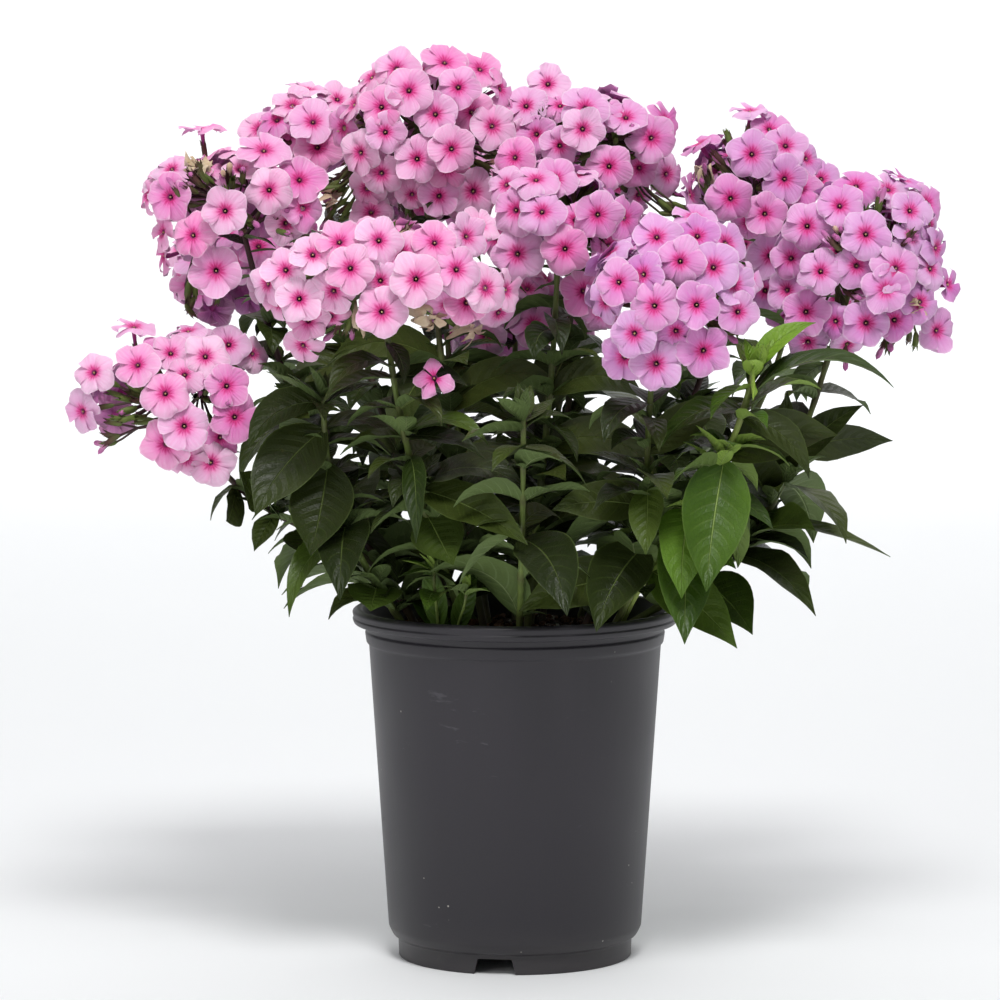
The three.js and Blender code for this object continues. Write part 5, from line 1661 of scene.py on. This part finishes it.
    def lay_out_florets(self):
        """Where all florets are and face, and how large they are."""
        seen = self.seen(FLORETS_SEEN, 6)
        placed = np.array([seen_on(self.shoot, row[0], row[1], row[5]) for row in seen])
        placed = placed.reshape(-1, 3)
        place, face = self.dome_florets(placed)
        sizes = np.ones(len(place))
        if len(placed):
            right, up = seen[:, 2], np.minimum(seen[:, 3] + 0.08, 0.985)
            ahead = -np.sqrt(np.clip(1 - right**2 - up**2, 0.01, 1))
            own = triple(right, ahead, up)
            own = unit(own + self.rng.normal(0, 0.09, own.shape))
            place, face = np.concatenate([place, placed]), np.concatenate([face, own])
            sizes = np.concatenate([sizes, seen[:, 4]])
        return place, face, sizes

    def add_pedicels(self, paths, start, end, steps, radii):
        purple = 0.25 + 0.75 * self.shoot["purple"]
        add_twigs(self.green, resample(paths, start, end, steps), radii, 5, 0.5, purple)

    def add_florets(self):
        """Corollas, and below them tubes, calyces and pedicels on one bow to a branch each."""
        rng, lilac = self.rng, self.shoot["lilac"]
        place, face, sizes = self.lay_out_florets()
        self.ways = unit((place - self.middle) / self.half)
        apart = place[:, None] - face[:, None] * 20 - self.joint_places[None]
        nearest = np.argmin(np.linalg.norm(apart, axis=-1), axis=1)
        many = len(place)
        radius = FLORET_RADIUS * sizes * rng.uniform(0.92, 1.04, many)
        roll = rng.uniform(0, 2 * math.pi, many)
        add_corollas(self.petals, rng, place, face, roll, radius, lilac)

        ends = self.joint_places[nearest] + rng.normal(0, 0.8, (many, 3))
        throat = place - face * TUBE_START
        reach = np.linalg.norm(throat - ends, axis=1)[:, None]
        curves = np.stack([throat, throat - face * np.minimum(0.5 * reach, 14),
                           ends + unit(place - ends) * 0.35 * reach, ends])
        paths = bezier(curves[:, :, None], np.linspace(0, 1, 28))
        length = path_lengths(paths)
        tube_end = np.minimum(rng.uniform(14, 18, many), 0.66 * length)
        tubes = resample(paths, np.zeros(many), tube_end, len(TUBE_RADII))
        add_throats(self.petals, tubes, place, face, 7, lilac)
        cup_start = np.maximum(tube_end - 7.5, 1)
        cup_end = np.minimum(tube_end + 1.2, 0.9 * length)
        add_calyces(self.green, rng, resample(paths, cup_start, cup_end, 5), CALYX_SLOT)
        self.add_pedicels(paths, cup_end - 0.3, length, 6, np.linspace(0.75, 0.6, 6))

    def add_withered(self):
        rng, seen = self.rng, self.seen(WITHERED_SEEN, 4)
        if not len(seen):
            return
        place = np.array([seen_on(self.shoot, *row[:3], TUFT_DEPTH) for row in seen])
        ways = unit(unit(place - self.middle) + rng.normal(0, 0.5, place.shape))
        roll = rng.uniform(0, 6, len(seen))
        add_corollas(self.petals, rng, place, ways, roll, seen[:, 3], 0, crumple=4.0,
                     kinds=(DRIED, DRIED))

    def add_buds(self):
        """Closed buds, and calyces whose florets have dropped, in tufts behind the gaps."""
        rng, index = self.rng, self.index
        tufts = []
        for *spot, count in TUFTS_SEEN.get(index, []):
            tufts.append((seen_on(self.shoot, *spot, TUFT_DEPTH), count))
        for way in self.gaps_between(self.ways, 0.0, 6):
            if index in TUFTS_SEEN and (way[1] < 0.1 or way[2] > 0.5):
                continue
            tufts.append((self.middle + way * self.half * 0.8, rng.integers(3, 7)))
        rows = []
        for tuft, count in tufts:
            nearest = np.linalg.norm(self.joint_places - tuft, axis=1).argmin()
            joint = self.joint_places[nearest]
            for _ in range(count):
                mouth = tuft + rng.normal(0, 3.0, 3)
                face = unit(unit(mouth - joint) + UP * 0.35 + rng.normal(0, 0.22, 3))
                rows.append((mouth, face, joint, rng.uniform(0, 1)))
        mouths, faces, ends, kinds = (np.array(column) for column in zip(*rows))
        many = len(mouths)
        reach = np.linalg.norm(mouths - ends, axis=1)[:, None]
        curves = np.stack([mouths, mouths - faces * 0.4 * reach,
                           ends + unit(mouths - ends) * 0.35 * reach, ends])
        paths = bezier(curves[:, :, None], np.linspace(0, 1, 20))
        length = path_lengths(paths)
        cup = np.minimum(8.0, 0.7 * length)
        add_calyces(self.green, rng, resample(paths, np.zeros(many), cup, 5), CALYX_SLOT)
        self.add_pedicels(paths, cup - 0.3, length, 5, np.full(5, 0.62))
        shut = kinds < BUD_CHANCE
        if shut.any():
            self.close_buds(mouths[shut], unit(paths[shut, 0] - paths[shut, 1]))

    def close_buds(self, mouths, out):
        rng, count = self.rng, len(mouths)
        long = rng.uniform(3, 9, (count, 1, 1))
        step = np.linspace(0, 1, 8)[:, None]
        path = mouths[:, None] - out[:, None] * 2 + out[:, None] * (long + 2) * step
        path = path + rng.normal(0, 0.25, (count, 1, 3)) * step**2 * long * 0.3
        kind = np.where(rng.uniform(0, 1, (count, 1)) < DRIED_CHANCE, DRIED, BUD)
        radii = np.interp(step[:, 0], *BUD_SHAPE) * rng.uniform(0.85, 1.1, (count, 1))
        look, more = triple(step[:, 0], 0, 0.5), triple(kind, self.shoot["lilac"], 0.5)
        self.petals.tube(path, radii, 8, look, more)

    def add_bracts(self):
        """Narrow leaves where the branches leave the stalk."""
        rng = self.rng
        for i in range(BRACTS):
            base = self.stalk[rng.integers(0, 7)]
            azimuth = i * 2.4 + rng.uniform(-0.4, 0.4)
            long = rng.uniform(14, 28) * (self.half[0] / 44)
            leaf = loose_leaf(rng, base, azimuth, long, bend=(-0.3, 0.3), rise=(-0.1, 0.5),
                              droop=(-0.8, -0.1), roll=(-0.4, 0.4), slender=(0.12, 0.2))
            add_leaf(self.green, leaf, rng, rng.uniform(0, 0.3))


def make_side_floret():
    """The single floret of four petals, at its twig's end."""
    rng = np.random.default_rng(77)
    petals, green = Soup(), Soup()
    lilac = 0.1
    place, face = vec([SIDE_FLORET["place"]]), unit([SIDE_FLORET["face"]])
    radius, roll = vec([FLORET_RADIUS * 0.86]), vec([0])
    add_corollas(petals, rng, place, face, roll, radius, lilac, SIDE_TURNS, 0.43, 1.35)
    root = side_floret_root()
    path = lerp(place[0] - face[0] * TUBE_START, root, np.linspace(0, 1, 6)[:, None])
    add_throats(petals, path[None], place, face, 8, lilac)
    show("side_corolla", petals.mesh("side_corolla"), [PETAL], "side_floret")
    cup = lerp(path[3], root - face[0] * 0.4, np.linspace(0, 1, 5)[:, None])
    add_calyces(green, rng, cup[None], 0)
    show("side_calyx", green.mesh("side_calyx"), [CALYX], "side_floret")


# ---- Stage ----

# In metres: where the floor starts and ends, its bow up, the wall's top, and half its width.
FLOOR_START, FLOOR_END = -8.0, 4.2
SWEEP_BOW = 1.2
WALL_HEIGHT = 5.0
HALF_WIDTH = 8.0
BOW_STEPS = 15

# Each light's name, place and target in metres, size in metres, and power in watts.
LIGHTS = [
    ("key", (0.2, -1.7, 2.6), (0, 0, 0.3), (0.8, 0.8), 50),
    ("fill", (-1.6, -2.3, 1.1), (0, 0, 0.25), (1.4, 1.4), 12),
    ("top", (0.1, -1.0, 2.4), (0, 0, 0.2), (1.8, 1.6), 12),
    ("back_floor", (0.0, 2.7, 2.6), (0, 2.8, 0.0), (5.0, 2.6), 75),
    ("back_wall", (0.0, 3.4, 1.8), (0, 5.4, 0.3), (5.0, 0.8), 34),
]
SKY_COLOUR = (0.95, 0.975, 1.0, 1)
SKY_STRENGTH = 0.27


def make_stage():
    """A pale sweep: a floor that turns up into a wall behind the plant."""
    rows = [(FLOOR_START, 0.0), (FLOOR_END, 0.0)]
    for angle in np.linspace(0, math.pi / 2, BOW_STEPS)[1:]:
        rows.append((FLOOR_END + SWEEP_BOW * math.sin(angle), SWEEP_BOW * (1 - math.cos(angle))))
    rows.append((FLOOR_END + SWEEP_BOW, WALL_HEIGHT))
    points = [(x, y, z) for y, z in rows for x in (-HALF_WIDTH, HALF_WIDTH)]
    faces = [(2 * i, 2 * i + 1, 2 * i + 3, 2 * i + 2) for i in range(len(rows) - 1)]
    mesh = bpy.data.meshes.new("sweep")
    mesh.from_pydata(points, [], faces)
    mesh.shade_smooth()
    s = Shader("sweep", Roughness=0.75, Specular_IOR_Level=0.15)
    tone = s.noise(s.place(), 1.3)
    s.feed(s.body.inputs["Base Color"], s.mix(tone, (0.86, 0.87, 0.88, 1), (0.89, 0.895, 0.90, 1)))
    mesh.materials.append(s.material)
    put("sweep", mesh)


def make_lights():
    for name, place, target, size, power in LIGHTS:
        light = bpy.data.lights.new(name, "AREA")
        light.shape, light.size, light.size_y = "RECTANGLE", size[0], size[1]
        light.energy = power
        item = put(name, light)
        item.location = place
        way = vec(place) - vec(target)
        tilt, turn = math.acos(way[2] / np.linalg.norm(way)), math.atan2(way[1], way[0])
        item.rotation_euler = (tilt, 0, turn + math.pi / 2)
    world = bpy.data.worlds.new("studio")
    world.use_nodes = True
    sky = world.node_tree.nodes["Background"]
    sky.inputs["Color"].default_value = SKY_COLOUR
    sky.inputs["Strength"].default_value = SKY_STRENGTH
    bpy.context.scene.world = world
    bpy.context.scene.view_settings.view_transform = "Standard"


def make_camera():
    camera = bpy.data.cameras.new("camera")
    camera.lens = camera.sensor_width * PICTURE_DEPTH / PICTURE_SIDE
    camera.shift_x = 0.5 - PICTURE_MIDDLE[0] / PICTURE_SIDE
    camera.clip_end = 30
    item = put("camera", camera)
    item.location = vec(CAMERA_PLACE) * 0.001
    item.rotation_euler = (math.pi / 2 - CAMERA_TILT, 0, 0)
    bpy.context.scene.camera = item


make_camera()
make_pot()
make_mix()
make_stems()
for index, shoot in enumerate(SHOOTS):
    Head(index, shoot).make()
make_side_floret()
make_stage()
make_lights()

bpy.context.view_layer.update()
